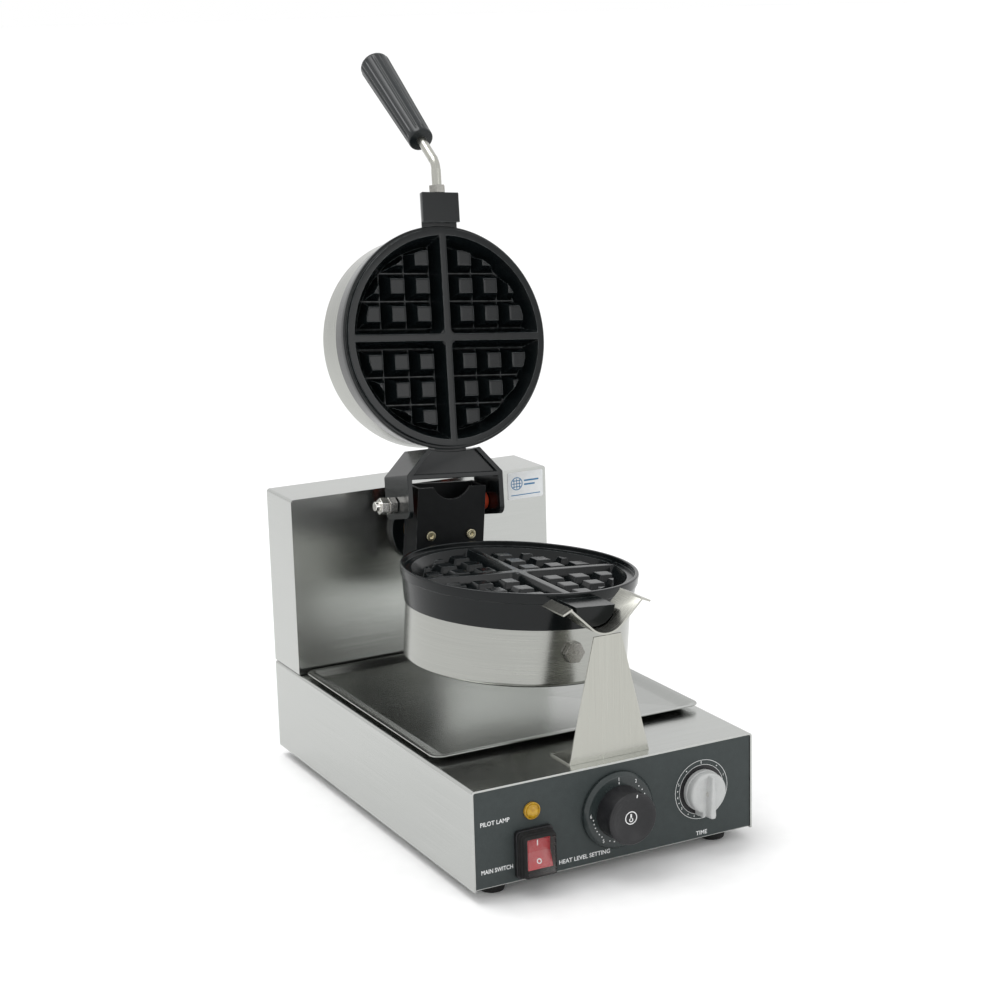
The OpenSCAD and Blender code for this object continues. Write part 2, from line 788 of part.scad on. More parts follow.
module upper_mould() {
    floor_z = upper_face + cavity_depth;
    color("#4a4f52") lid() {
        difference() {
            union() {
                translate([0, mould_y, upper_face])
                    cylinder(h = upper_rim_z - upper_face + 1, r = spigot_r);
                translate([0, mould_y, upper_rim_z])
                    cylinder(h = upper_skirt_z - upper_rim_z, r1 = upper_rim_r, r2 = skirt_r + 0.6);
                difference() {
                    intersection() {
                        rod_y(0, axis_z, 26, 66, lug_r);
                        block([-30, 20, upper_face], [30, 70, 230]);
                    }
                    translate([0, mould_y, upper_face - 1])
                        cylinder(h = upper_rim_z - upper_face + 1, r = 98.4);
                }
                block([-15, 236, 206.4], [15, 264, 220]);
            }
            translate([0, mould_y, upper_face]) mirror([0, 0, 1]) cavity();
            translate([0, mould_y, floor_z + casting_floor]) cylinder(h = 30, r = 87);
            rod_y(0, rod_z, 20, 48, rod_d / 2);
            for (s = [-1, 1]) translate([s * 8, 257, 200]) cylinder(h = 30, r = 2.5);
            translate([0, mould_y, floor_z + casting_floor - 2]) cylinder(h = 3, r = 4);
        }
        translate([0, mould_y, upper_face]) mirror([0, 0, 1]) waffle_face();
    }
}

module upper_shroud() {
    color("silver") lid() difference() {
        translate([0, mould_y, upper_pan_z]) mirror([0, 0, 1])
            pan(upper_pan_r, upper_pan_z - upper_skirt_z, pan_wall, pan_corner);
        translate([0, mould_y, upper_pan_z - 4]) cylinder(h = 5, r = 4);
    }
}

module upper_heater() {
    z = upper_face + cavity_depth + casting_floor + 3.9;
    color("#5b4a42") lid() translate([0, mould_y, z]) mirror([0, 0, 1]) heater_ring();
}

module upper_insulation() {
    color("beige") lid() translate([0, mould_y, 230]) insulation(12);
}

module upper_shroud_nut() {
    z0 = upper_face + cavity_depth + casting_floor - 2;
    color("silver") lid() translate([0, mould_y, 0]) {
        translate([0, 0, z0]) cylinder(h = upper_pan_z - z0, r = 4);
        translate([0, 0, upper_pan_z]) cylinder(h = 5, r = 7.5, $fn = 6);
        translate([0, 0, upper_pan_z + 5]) intersection() {
            sphere(r = 6.2);
            cylinder(h = 8, r = 7);
        }
    }
}

// ---- handle ----

// Moves to the end of the rod's bend, with +Z along the grip
module along_grip() {
    translate([0, rod_bend_y, rod_z + rod_bend_r]) rotate([-handle_bend, 0, 0])
        translate([0, 0, -rod_bend_r]) rotate([90, 0, 0]) children();
}

module handle_rod() {
    color("silver") lid() {
        rod_y(0, rod_z, rod_bend_y - join, 19, sleeve_r);
        rod_y(0, rod_z, 18, 48, rod_d / 2);
        translate([0, rod_bend_y, rod_z + rod_bend_r]) rotate([90, 0, 90]) rotate(-90 - handle_bend)
            rotate_extrude(angle = handle_bend) translate([rod_bend_r, 0]) circle(rod_d / 2);
        along_grip() translate([0, 0, -join]) cylinder(h = grip_gap + 40 + join, r = sleeve_r);
    }
}

module handle_nut() {
    color("silver") lid() difference() {
        rod_y(0, rod_z, 19.4, 26, 7.5, 6);
        rod_y(0, rod_z, 18, 27, rod_d / 2);
    }
}

// Tapered grip with shallow flutes and a round end
module handle_grip() {
    end_r = 5;
    taper = atan((grip_r1 - grip_r0) / grip_len);
    color("#1e1f20") lid() along_grip() translate([0, 0, grip_gap]) difference() {
        rotate_extrude() {
            polygon([[0, 0], [grip_r0 - 1.5, 0], [grip_r0, 1.5], [grip_r1, grip_len - end_r],
                [0, grip_len - end_r]]);
            translate([0, grip_len - end_r]) intersection() {
                translate([grip_r1 - end_r, 0]) circle(end_r);
                square([grip_r1, end_r]);
            }
            translate([0, grip_len - end_r - 1]) square([grip_r1 - end_r, end_r + 1]);
        }
        for (i = [0:11]) rotate(i * 30) translate([grip_r0 + 0.9, 0, -1]) rotate([0, taper, 0])
            cylinder(h = grip_len + 4, r = 1.5);
        translate([0, 0, -1]) cylinder(h = 41, r = sleeve_r);
    }
}

base_shell();
front_panel();
bottom_plate();
bottom_plate_screws();
feet();
foot_screws();
tower_gasket();
tower_shell();
tower_back_cover();
tower_cover_screws();
drip_tray();
cradle_stand();
cradle_trough();
bearing_housing();
bearing_bush();
housing_screws();
flip_stop();
terminal_block();
switch_body();
switch_bezel();
switch_cover();
switch_rocker();
pilot_body();
pilot_lens();
thermostat_body();
thermostat_shaft();
thermostat_skirt();
thermostat_grip();
timer_body();
timer_shaft();
timer_knob();
blank_label();
cable_gland();
gland_nut();
hollow_shaft();
shaft_collar();
hub_plate();
hinge_plate();
hinge_plate_screws();
lug_bolts();
lower_mould();
lower_shroud();
lower_heater();
lower_insulation();
lower_shroud_bolts();
hinge_pin();
hinge_nuts();
silicone_bushes();
lid_bracket();
lid_bracket_screws();
upper_mould();
upper_shroud();
upper_heater();
upper_insulation();
upper_shroud_nut();
handle_rod();
handle_nut();
handle_grip();
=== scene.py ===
# Rotary waffle maker: finishes, cast moulds, shrouds, grip, tray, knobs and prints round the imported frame.
# Pieces are in millimetres from the base shell's middle (x = 0), front face (y = 0) and underside (z = 0).
# The camera, the lights and the floor are in metres.
import json
import math

import bmesh
import bpy
import numpy as np
from mathutils import Matrix, Vector

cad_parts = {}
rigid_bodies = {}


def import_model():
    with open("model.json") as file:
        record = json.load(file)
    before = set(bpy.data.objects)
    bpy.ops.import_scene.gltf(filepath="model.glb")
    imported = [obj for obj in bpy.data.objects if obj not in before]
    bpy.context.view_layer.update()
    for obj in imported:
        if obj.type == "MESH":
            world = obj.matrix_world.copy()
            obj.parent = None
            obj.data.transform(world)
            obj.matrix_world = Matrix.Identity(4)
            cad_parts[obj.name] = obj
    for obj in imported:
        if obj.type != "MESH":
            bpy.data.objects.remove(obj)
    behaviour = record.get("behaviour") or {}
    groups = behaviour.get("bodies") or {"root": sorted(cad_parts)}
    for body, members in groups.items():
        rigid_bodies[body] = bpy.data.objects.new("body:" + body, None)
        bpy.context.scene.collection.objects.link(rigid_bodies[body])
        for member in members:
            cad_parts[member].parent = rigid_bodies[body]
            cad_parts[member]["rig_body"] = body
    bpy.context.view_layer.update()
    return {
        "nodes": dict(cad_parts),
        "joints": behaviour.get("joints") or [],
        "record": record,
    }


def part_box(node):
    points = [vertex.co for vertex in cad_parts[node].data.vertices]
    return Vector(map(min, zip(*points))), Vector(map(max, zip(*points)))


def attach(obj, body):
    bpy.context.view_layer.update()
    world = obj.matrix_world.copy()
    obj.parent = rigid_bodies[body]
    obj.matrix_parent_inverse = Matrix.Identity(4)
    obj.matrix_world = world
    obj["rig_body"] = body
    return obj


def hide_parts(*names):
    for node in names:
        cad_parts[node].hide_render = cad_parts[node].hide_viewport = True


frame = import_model()
nodes = frame["nodes"]
joints = {j["name"]: j for j in frame["joints"]}
slotOf = {s["node"]: s["material_slot"] for s in frame["record"]["subparts"]}
scene = bpy.context.scene
print("frame loaded with", len(nodes), "nodes")


def camelCase(words):
    # base_shell gives baseShell, the way pieces and finishes are named here.
    first, *others = words.split("_")
    return first + "".join(word.capitalize() for word in others)


# Places: the base, the rolled head, and the open lid

def turnAbout(point, axis, degrees):
    turn = Matrix.Rotation(math.radians(degrees), 4, Vector(axis))
    return Matrix.Translation(point) @ turn @ Matrix.Translation(-Vector(point))


flip, hinge = joints["head_flip"], joints["lid_hinge"]
basePlace = Matrix.Translation((0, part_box("base_shell")[0].y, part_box("base_shell")[0].z))
headPlace = turnAbout(flip["pos_m"], flip["axis"], -flip["range_deg"][0]) @ basePlace
lidPlace = turnAbout(hinge["pos_m"], hinge["axis"], -hinge["range_deg"][1]) @ headPlace


def millimetres(x, y, z):
    return Matrix.Translation((x / 1000, y / 1000, z / 1000))


def tilt(degrees):
    return Matrix.Rotation(math.radians(degrees), 4, "X")


def facePlace(x, y, z):
    # Place of an upright face: its u is to the right, v up and w out towards the front.
    return basePlace @ millimetres(x, y, z) @ tilt(90)


# Camera and lights

view = {"target": (0.0099, -0.0188, 0.2564), "distance": 1.758, "yaw": 27.37, "pitch": -13.02, "roll": -1.6,
        "lens": 76.2}
yaw, pitch, roll = (math.radians(view[k]) for k in ("yaw", "pitch", "roll"))
forward = Vector((math.sin(yaw) * math.cos(pitch), math.cos(yaw) * math.cos(pitch), math.sin(pitch)))
level = Vector((math.cos(yaw), -math.sin(yaw), 0))
upright = level.cross(forward)
across = level * math.cos(roll) + upright * math.sin(roll)
upward = upright * math.cos(roll) - level * math.sin(roll)
camera = bpy.data.objects.new("camera", bpy.data.cameras.new("camera"))
camera.data.lens = view["lens"]
camera.data.sensor_width = 36
turn = Matrix((across, upward, -forward)).transposed().to_4x4()
camera.matrix_world = Matrix.Translation(Vector(view["target"]) - forward * view["distance"]) @ turn
scene.collection.objects.link(camera)
scene.camera = camera
scene.view_settings.view_transform = "Standard"

aimHeight = 0.25
softboxes = {
    "softboxAbove": {"place": (-0.5, 0.3, 2.2), "size": 1.0, "power": 10},
    "softboxFront": {"place": (0.9, -2.4, 0.9), "size": 0.9, "power": 4},
}
for name, box in softboxes.items():
    lamp = bpy.data.lights.new(name, "AREA")
    lamp.shape, lamp.size, lamp.energy = "SQUARE", box["size"], box["power"]
    light = bpy.data.objects.new(name, lamp)
    light.location = box["place"]
    light.rotation_euler = (Vector((0, 0, aimHeight)) - light.location).to_track_quat("-Z", "Y").to_euler()
    scene.collection.objects.link(light)

daylight = {"strength": 0.7, "spread": 40, "from": (-0.35, 0.30, 1.0)}
sun = bpy.data.objects.new("daylight", bpy.data.lights.new("daylight", "SUN"))
sun.data.energy = daylight["strength"]
sun.data.angle = math.radians(daylight["spread"])
sun.rotation_euler = Vector(daylight["from"]).to_track_quat("Z", "Y").to_euler()
scene.collection.objects.link(sun)

sky = bpy.data.worlds.new("paleRoom")
sky.use_nodes = True
sky.node_tree.nodes["Background"].inputs["Color"].default_value = (1, 1, 1, 1)
sky.node_tree.nodes["Background"].inputs["Strength"].default_value = 1.0
scene.world = sky
print("camera and lights set")


# Shared shader groups

def newGroup(name, inputs, outputs):
    group = bpy.data.node_groups.new(name, "ShaderNodeTree")
    for label, kind, value in inputs:
        socket = group.interface.new_socket(label, in_out="INPUT", socket_type="NodeSocket" + kind)
        if value is not None:
            socket.default_value = value
    for label in outputs:
        group.interface.new_socket(label, in_out="OUTPUT", socket_type="NodeSocketFloat")
    return group, group.nodes.new("NodeGroupInput").outputs, group.nodes.new("NodeGroupOutput").inputs


def setInputs(tree, node, links):
    # Links are pairs of (input, value or socket).
    for key, value in links:
        if isinstance(value, bpy.types.NodeSocket):
            tree.links.new(value, node.inputs[key])
        else:
            node.inputs[key].default_value = value
    return node


def addNode(tree, kind, links=(), **settings):
    node = tree.nodes.new("ShaderNode" + kind)
    for key, value in settings.items():
        setattr(node, key, value)
    return setInputs(tree, node, links)


def addNoise(tree, vector, scale, detail, *links):
    return addNode(tree, "TexNoise", [("Vector", vector), ("Scale", scale), ("Detail", detail), *links])


def multiply(tree, first, second):
    return addNode(tree, "Math", [(0, first), (1, second)], operation="MULTIPLY").outputs[0]


def scaleVector(tree, vector, factors):
    return addNode(tree, "VectorMath", [(0, vector), (1, factors)], operation="MULTIPLY").outputs[0]


def spread(tree, value, low, high, toLow=0.0, toHigh=1.0):
    # Maps low to toLow and high to toHigh, held at both ends.
    links = [("Value", value), ("From Min", low), ("From Max", high), ("To Min", toLow), ("To Max", toHigh)]
    return addNode(tree, "MapRange", links).outputs["Result"]


def makeBrushedGroup():
    # Fine parallel lines: noise squeezed across them, one way on upright faces and another on level ones.
    group, given, out = newGroup("brushedLines", [("Vector", "Vector", None), ("Normal", "Vector", None),
                                                  ("Upright", "Vector", (9, 9, 1500)),
                                                  ("Flat", "Vector", (9, 1500, 9))], ["Tone", "Height"])
    tones = []
    for way in ("Upright", "Flat"):
        squeezed = scaleVector(group, given["Vector"], given[way])
        tones.append(addNoise(group, squeezed, 1.0, 3.0, ("Roughness", 0.6)).outputs["Fac"])
    apart = addNode(group, "SeparateXYZ", [(0, given["Normal"])])
    facing = addNode(group, "Math", [(0, apart.outputs["Z"])], operation="ABSOLUTE")
    isFlat = addNode(group, "Math", [(0, facing.outputs[0]), (1, 0.7)], operation="GREATER_THAN")
    tone = addNode(group, "Mix", [("Factor", isFlat.outputs[0]), ("A", tones[0]), ("B", tones[1])])
    group.links.new(tone.outputs["Result"], out["Tone"])
    group.links.new(tone.outputs["Result"], out["Height"])
    return group


def makeSpunGroup():
    # Turning lines on round parts: noise that is fine over the distance from the axis and over the height.
    group, given, out = newGroup("spunLines", [("Vector", "Vector", None), ("Lines", "Float", 1400.0)],
                                 ["Tone", "Height"])
    flatPart = scaleVector(group, given["Vector"], (1, 1, 0))
    radius = addNode(group, "VectorMath", [(0, flatPart)], operation="LENGTH")
    apart = addNode(group, "SeparateXYZ", [(0, given["Vector"])])
    place = addNode(group, "CombineXYZ", [("X", multiply(group, radius.outputs["Value"], given["Lines"])),
                                          ("Y", multiply(group, apart.outputs["X"], 14.0)),
                                          ("Z", multiply(group, apart.outputs["Z"], given["Lines"]))])
    noise = addNoise(group, place.outputs[0], 1.0, 3.0)
    group.links.new(noise.outputs["Fac"], out["Tone"])
    group.links.new(noise.outputs["Fac"], out["Height"])
    return group


def makeGrainGroup():
    # Moulded or painted grain: fine noise with a coarser noise under it.
    group, given, out = newGroup("fineGrain", [("Vector", "Vector", None), ("Scale", "Float", 900.0)],
                                 ["Tone", "Height"])
    fine = addNoise(group, given["Vector"], given["Scale"], 2.0)
    coarse = addNoise(group, given["Vector"], multiply(group, given["Scale"], 0.12), 3.0)
    tone = addNode(group, "Mix", [("Factor", 0.45), ("A", fine.outputs["Fac"]),
                                  ("B", coarse.outputs["Fac"])])
    group.links.new(tone.outputs["Result"], out["Tone"])
    group.links.new(fine.outputs["Fac"], out["Height"])
    return group


def makeSmudgeGroup():
    # Handling marks: broad noise, sharpened, so that gloss changes in patches.
    group, given, out = newGroup("handlingMarks", [("Vector", "Vector", None), ("Scale", "Float", 14.0)],
                                 ["Mask"])
    broad = addNoise(group, given["Vector"], given["Scale"], 5.0, ("Roughness", 0.6), ("Distortion", 0.4))
    group.links.new(spread(group, broad.outputs["Fac"], 0.42, 0.68), out["Mask"])
    return group


def makeWearGroup():
    # Edge wear: where the rounded normal leaves the face's normal, broken up by noise.
    group, given, out = newGroup("edgeWear", [("Vector", "Vector", None), ("Width", "Float", 0.0006),
                                              ("Amount", "Float", 0.5)], ["Mask"])
    rounded = addNode(group, "Bevel", [("Radius", given["Width"])], samples=4)
    face = addNode(group, "NewGeometry")
    same = addNode(group, "VectorMath", [(0, rounded.outputs[0]), (1, face.outputs["Normal"])],
                   operation="DOT_PRODUCT")
    edge = spread(group, same.outputs["Value"], 0.995, 0.86)
    patches = addNoise(group, given["Vector"], 160.0, 3.0)
    broken = spread(group, patches.outputs["Fac"], 0.3, 0.6)
    group.links.new(multiply(group, multiply(group, edge, broken), given["Amount"]), out["Mask"])
    return group


groups = {"brushed": makeBrushedGroup(), "spun": makeSpunGroup(), "grain": makeGrainGroup(),
          "marks": makeSmudgeGroup(), "wear": makeWearGroup()}


# Finishes
# dark and light are the ends of the colour, rough the range of roughness; bump is the grain's height and
# width the worn edge's, in millimetres; marks is what handling adds to roughness; the usual pattern is grain

finishLooks = {
    "steelSheet": {"dark": (0.43, 0.44, 0.425), "light": (0.485, 0.495, 0.48), "metallic": 1.0,
                   "rough": (0.20, 0.25), "pattern": "brushed", "bump": 0.0012, "marks": 0.025,
                   "wear": 0.35, "worn": (0.85, 0.86, 0.85)},
    # steelTray is a darker copy of the sheet steel: the darkness is painted shade under the moulds.
    "steelTray": {"dark": (0.35, 0.36, 0.345), "light": (0.41, 0.42, 0.405), "metallic": 1.0,
                  "rough": (0.19, 0.24), "pattern": "brushed", "bump": 0.0012, "marks": 0.03, "wear": 0.35,
                  "worn": (0.8, 0.8, 0.78)},
    "steelStand": {"dark": (0.40, 0.40, 0.365), "light": (0.46, 0.46, 0.42), "metallic": 1.0,
                   "rough": (0.22, 0.27), "pattern": "brushed", "bump": 0.0012, "marks": 0.02,
                   "upright": (1500, 9, 9), "wear": 0.35, "worn": (0.8, 0.8, 0.76)},
    # steelPan is a darker copy of the steel: the darkness is painted shade and painted dark reflection on
    # the shrouds round the moulds.
    "steelPan": {"dark": (0.34, 0.345, 0.325), "light": (0.39, 0.395, 0.37), "metallic": 1.0,
                 "rough": (0.20, 0.26), "pattern": "spun", "bump": 0.0004, "marks": 0.03, "wear": 0.3,
                 "worn": (0.85, 0.86, 0.85)},
    "fascia": {"dark": (0.026, 0.034, 0.034), "light": (0.038, 0.048, 0.048), "gloss": 0.35,
               "rough": (0.42, 0.54), "scale": 1500, "bump": 0.010, "marks": 0.08, "wear": 0.25,
               "worn": (0.25, 0.26, 0.27)},
    "coatedCast": {"dark": (0.0025, 0.0035, 0.004), "light": (0.005, 0.007, 0.0075), "gloss": 0.28,
                   "rough": (0.13, 0.20), "scale": 1300, "bump": 0.006, "marks": 0.06, "wear": 0.50,
                   "worn": (0.15, 0.165, 0.165), "width": 0.9},
    "bracketBlack": {"dark": (0.004, 0.0045, 0.005), "light": (0.008, 0.009, 0.0095), "gloss": 0.14,
                     "rough": (0.40, 0.55), "scale": 1100, "bump": 0.016, "wear": 0.45,
                     "worn": (0.20, 0.21, 0.21), "width": 0.8},
    "brightSteel": {"dark": (0.58, 0.57, 0.54), "light": (0.80, 0.79, 0.76), "metallic": 1.0,
                    "rough": (0.14, 0.26), "scale": 700, "bump": 0.003, "wear": 0.3,
                    "worn": (0.9, 0.9, 0.88)},
    "screwPlate": {"dark": (0.60, 0.54, 0.36), "light": (0.80, 0.74, 0.52), "metallic": 1.0,
                   "rough": (0.20, 0.34), "scale": 900, "bump": 0.003, "wear": 0.4,
                   "worn": (0.92, 0.88, 0.72)},
    "bearingBronze": {"dark": (0.40, 0.27, 0.13), "light": (0.58, 0.41, 0.21), "metallic": 1.0,
                      "rough": (0.25, 0.40), "pattern": "spun", "bump": 0.004, "marks": 0.15, "wear": 0.3,
                      "worn": (0.8, 0.66, 0.4)},
    "blackRubber": {"dark": (0.010, 0.010, 0.010), "light": (0.022, 0.022, 0.022), "gloss": 0.25,
                    "rough": (0.70, 0.88), "scale": 1200, "bump": 0.03, "marks": 0.05, "wear": 0.25,
                    "worn": (0.08, 0.08, 0.08)},
    "blackPlastic": {"dark": (0.008, 0.008, 0.009), "light": (0.016, 0.016, 0.018), "gloss": 0.40,
                     "rough": (0.26, 0.38), "scale": 1600, "bump": 0.006, "marks": 0.12, "wear": 0.25,
                     "worn": (0.07, 0.07, 0.07)},
    "slateGloss": {"dark": (0.016, 0.023, 0.023), "light": (0.028, 0.037, 0.037), "rough": (0.14, 0.22),
                   "scale": 1400, "bump": 0.003, "wear": 0.2, "worn": (0.08, 0.08, 0.08)},
    "gripPlastic": {"dark": (0.006, 0.008, 0.009), "light": (0.012, 0.015, 0.016), "gloss": 0.30,
                    "rough": (0.16, 0.24), "scale": 1200, "bump": 0.003, "marks": 0.06, "wear": 0.20,
                    "worn": (0.06, 0.065, 0.065)},
    "greyPlastic": {"dark": (0.43, 0.44, 0.435), "light": (0.52, 0.53, 0.525), "rough": (0.28, 0.40),
                    "scale": 1400, "bump": 0.006, "marks": 0.12, "wear": 0.2, "worn": (0.8, 0.8, 0.8)},
    "redPlastic": {"dark": (0.32, 0.004, 0.010), "light": (0.42, 0.008, 0.016), "rough": (0.18, 0.28),
                   "scale": 1400, "bump": 0.004, "marks": 0.12, "wear": 0.15, "worn": (0.7, 0.15, 0.12)},
    "amberLens": {"dark": (0.30, 0.15, 0.008), "light": (0.56, 0.34, 0.02), "rough": (0.08, 0.16),
                  "scale": 350, "bump": 0.05, "marks": 0.05, "wear": 0.1, "worn": (0.95, 0.6, 0.2)},
    "siliconeRed": {"dark": (0.55, 0.045, 0.012), "light": (0.70, 0.080, 0.022), "rough": (0.45, 0.60),
                    "scale": 1000, "bump": 0.015, "wear": 0.15, "worn": (0.8, 0.25, 0.15)},
    "labelWhite": {"dark": (0.72, 0.74, 0.75), "light": (0.84, 0.86, 0.87), "rough": (0.30, 0.42),
                   "scale": 1800, "bump": 0.003, "marks": 0.08, "wear": 0.1, "worn": (0.6, 0.6, 0.6)},
    "insulation": {"dark": (0.52, 0.49, 0.40), "light": (0.72, 0.69, 0.60), "rough": (0.8, 0.95),
                   "scale": 500, "bump": 0.2},
    "terminalPlastic": {"dark": (0.62, 0.58, 0.46), "light": (0.74, 0.70, 0.58), "rough": (0.4, 0.5),
                        "scale": 1200, "bump": 0.01, "wear": 0.1, "worn": (0.8, 0.78, 0.7)},
    "boltSteel": {"dark": (0.22, 0.215, 0.20), "light": (0.36, 0.355, 0.33), "metallic": 1.0,
                  "rough": (0.22, 0.34), "scale": 700, "bump": 0.004, "wear": 0.5,
                  "worn": (0.75, 0.74, 0.70)},
    # The hollow shaft's steel is near-black: painted shade in the notch that holds it.
    "darkShaft": {"dark": (0.02, 0.02, 0.02), "light": (0.045, 0.044, 0.042), "metallic": 1.0,
                  "rough": (0.35, 0.5), "scale": 500, "bump": 0.01, "marks": 0.2, "wear": 0.3,
                  "worn": (0.3, 0.3, 0.29)},
    "heaterMetal": {"dark": (0.10, 0.07, 0.055), "light": (0.22, 0.16, 0.12), "metallic": 1.0,
                    "rough": (0.45, 0.65), "scale": 400, "bump": 0.02, "marks": 0.3, "wear": 0.3,
                    "worn": (0.4, 0.35, 0.3)},
    "whitePrint": {"dark": (0.70, 0.71, 0.71), "light": (0.82, 0.83, 0.83), "rough": (0.45, 0.6),
                   "scale": 2500, "bump": 0.004, "marks": 0.05},
    "bluePrint": {"dark": (0.02, 0.16, 0.34), "light": (0.04, 0.22, 0.44), "rough": (0.4, 0.5),
                  "scale": 2500, "bump": 0.003, "marks": 0.05},
    "paleFloor": {"dark": (0.86, 0.86, 0.86), "light": (0.90, 0.90, 0.90), "rough": (0.55, 0.7),
                  "scale": 60, "bump": 0.01, "marks": 0.02},
}


def useGroup(tree, name, links):
    node = tree.nodes.new("ShaderNodeGroup")
    node.node_tree = groups[name]
    return setInputs(tree, node, links)


def makeFinish(name, look, place=None):
    # One material: pattern gives tone and bump, marks change the gloss, wear lightens the edges.
    material = bpy.data.materials.new(name)
    material.use_nodes = True
    tree = material.node_tree
    shader = tree.nodes["Principled BSDF"]
    coordinates = addNode(tree, "TexCoord")
    where = coordinates.outputs["Object"]
    if place is not None:
        # a TEXTURE mapping undoes the piece's place, so that its own axis is the pattern's z
        mapping = addNode(tree, "Mapping", [("Vector", where), ("Location", place.to_translation()),
                                            ("Rotation", place.to_euler())], vector_type="TEXTURE")
        where = mapping.outputs["Vector"]
    kind = look.get("pattern", "grain")
    if kind == "brushed":
        pattern = useGroup(tree, "brushed", [("Vector", where), ("Normal", coordinates.outputs["Normal"])])
        if "upright" in look:
            pattern.inputs["Upright"].default_value = look["upright"]
    elif kind == "spun":
        pattern = useGroup(tree, "spun", [("Vector", where)])
    else:
        pattern = useGroup(tree, "grain", [("Vector", where), ("Scale", float(look["scale"]))])
    marks = useGroup(tree, "marks", [("Vector", where)])
    tone = spread(tree, pattern.outputs["Tone"], 0.3, 0.7)
    colour = addNode(tree, "Mix", [("Factor", tone), ("A", (*look["dark"], 1)), ("B", (*look["light"], 1))],
                     data_type="RGBA")
    if "wear" in look:
        worn = useGroup(tree, "wear", [("Vector", where), ("Width", look.get("width", 0.6) / 1000),
                                       ("Amount", look["wear"])])
        colour = addNode(tree, "Mix", [("Factor", worn.outputs["Mask"]), ("A", colour.outputs["Result"]),
                                       ("B", (*look["worn"], 1))], data_type="RGBA")
    gloss = spread(tree, pattern.outputs["Tone"], 0.3, 0.7, *look["rough"])
    patches = addNode(tree, "Math", [(0, marks.outputs["Mask"]), (1, look.get("marks", 0.1)), (2, gloss)],
                      operation="MULTIPLY_ADD")
    bump = addNode(tree, "Bump", [("Height", pattern.outputs["Height"]), ("Distance", look["bump"] / 1000),
                                  ("Strength", 1.0)])
    tree.links.new(colour.outputs["Result"], shader.inputs["Base Color"])
    tree.links.new(patches.outputs[0], shader.inputs["Roughness"])
    tree.links.new(bump.outputs["Normal"], shader.inputs["Normal"])
    shader.inputs["Metallic"].default_value = look.get("metallic", 0.0)
    shader.inputs["Specular IOR Level"].default_value = look.get("gloss", 0.5)
    return material


finishes = {name: makeFinish(name, look) for name, look in finishLooks.items()}


def makeBootFinish():
    # Clear flexible plastic: mostly see-through, a little cloudy, with soft highlights.
    material = makeFinish("clearBoot", {"dark": (0.75, 0.74, 0.72), "light": (0.85, 0.84, 0.82),
                                        "rough": (0.14, 0.24), "scale": 500, "bump": 0.02})
    tree = material.node_tree
    where = addNode(tree, "TexCoord").outputs["Object"]
    cloud = useGroup(tree, "marks", [("Vector", where), ("Scale", 60.0)])
    cover = spread(tree, cloud.outputs["Mask"], 0.0, 1.0, 0.02, 0.06)
    tree.links.new(cover, tree.nodes["Principled BSDF"].inputs["Alpha"])
    return material


finishes["clearBoot"] = makeBootFinish()
for node, cadObject in nodes.items():
    cadObject.data.materials.clear()
    cadObject.data.materials.append(finishes[camelCase(slotOf[node])])
print("finishes made:", len(finishes))


# Mesh helpers

mergeMetres = 2e-6
crispAngle = 35


def evenAngles(count):
    return np.arange(count) * 2 * np.pi / count


def gridFaces(rows, columns, closed=True):
    # Quads between neighbouring rings; closed joins the last column to the first.
    spans = columns if closed else columns - 1
    row, column = np.meshgrid(np.arange(rows - 1), np.arange(spans), indexing="ij")
    nextColumn = (column + 1) % columns
    corners = (row * columns + column, row * columns + nextColumn, (row + 1) * columns + nextColumn,
               (row + 1) * columns + column)
    return np.stack([c.ravel() for c in corners], axis=1)


def fillet(corners, steps=6):
    # Outline with arcs at its corners: each corner is (a, b, radius); the arc touches both its sides.
    given = np.array([c[:2] for c in corners], float)
    made = [given[:1]]
    for before, here, after, radius in zip(given, given[1:], given[2:], [c[2] for c in corners[1:-1]]):
        if radius <= 0:
            made.append(here[None])
            continue
        u, v = before - here, after - here
        u, v = u / np.linalg.norm(u), v / np.linalg.norm(v)
        half = math.acos(np.clip(u @ v, -1, 1)) / 2
        middle = (u + v) / np.linalg.norm(u + v)
        centre = here + middle * radius / math.sin(half)
        first, last = here + u * radius / math.tan(half), here + v * radius / math.tan(half)
        start, end = first - centre, last - centre
        sweep = math.atan2(start[0] * end[1] - start[1] * end[0], start @ end)
        angles = np.linspace(0, sweep, steps + 1)[:, None]
        side = np.array([-start[1], start[0]])
        made.append(centre + start * np.cos(angles) + side * np.sin(angles))
    made.append(given[-1:])
    return np.concatenate(made)


def revolve(outline, steps=160, angles=None):
    # Outline of (radius, height) turned about the z axis: x = r cos a, y = r sin a, z = height.
    if angles is None:
        angles = evenAngles(steps)
    r, z = outline[:, :1], outline[:, 1:]
    points = np.stack([r * np.cos(angles), r * np.sin(angles), z + 0 * angles], axis=2)
    return points.reshape(-1, 3), gridFaces(len(outline), len(angles))


def loftRectangle(width, height, radius, rings, steps=8):
    # Rounded rectangle lofted through rings of (inset, level): the corner radius shrinks with the inset.
    quarter = np.linspace(0, np.pi / 2, steps)
    inset, depth = np.array(rings, float).T
    corner = np.maximum(radius - inset, 0.3)
    angles = np.concatenate([quarter + i * np.pi / 2 for i in range(4)])
    signX = np.repeat([1, -1, -1, 1], steps)
    signY = np.repeat([1, 1, -1, -1], steps)
    x = signX * (width / 2 - inset - corner)[:, None] + corner[:, None] * np.cos(angles)
    y = signY * (height / 2 - inset - corner)[:, None] + corner[:, None] * np.sin(angles)
    points = np.stack([x, y, depth[:, None] + 0 * x], axis=2)
    return points.reshape(-1, 3), gridFaces(len(rings), 4 * steps)


def capEnds(faces, columns, rows):
    # Face lists with a flat cap on the first and the last ring.
    first = list(range(columns))[::-1]
    last = [(rows - 1) * columns + i for i in range(columns)]
    return faces.tolist() + [first, last]


def faceLists(faces):
    return faces if isinstance(faces, list) else faces.tolist()


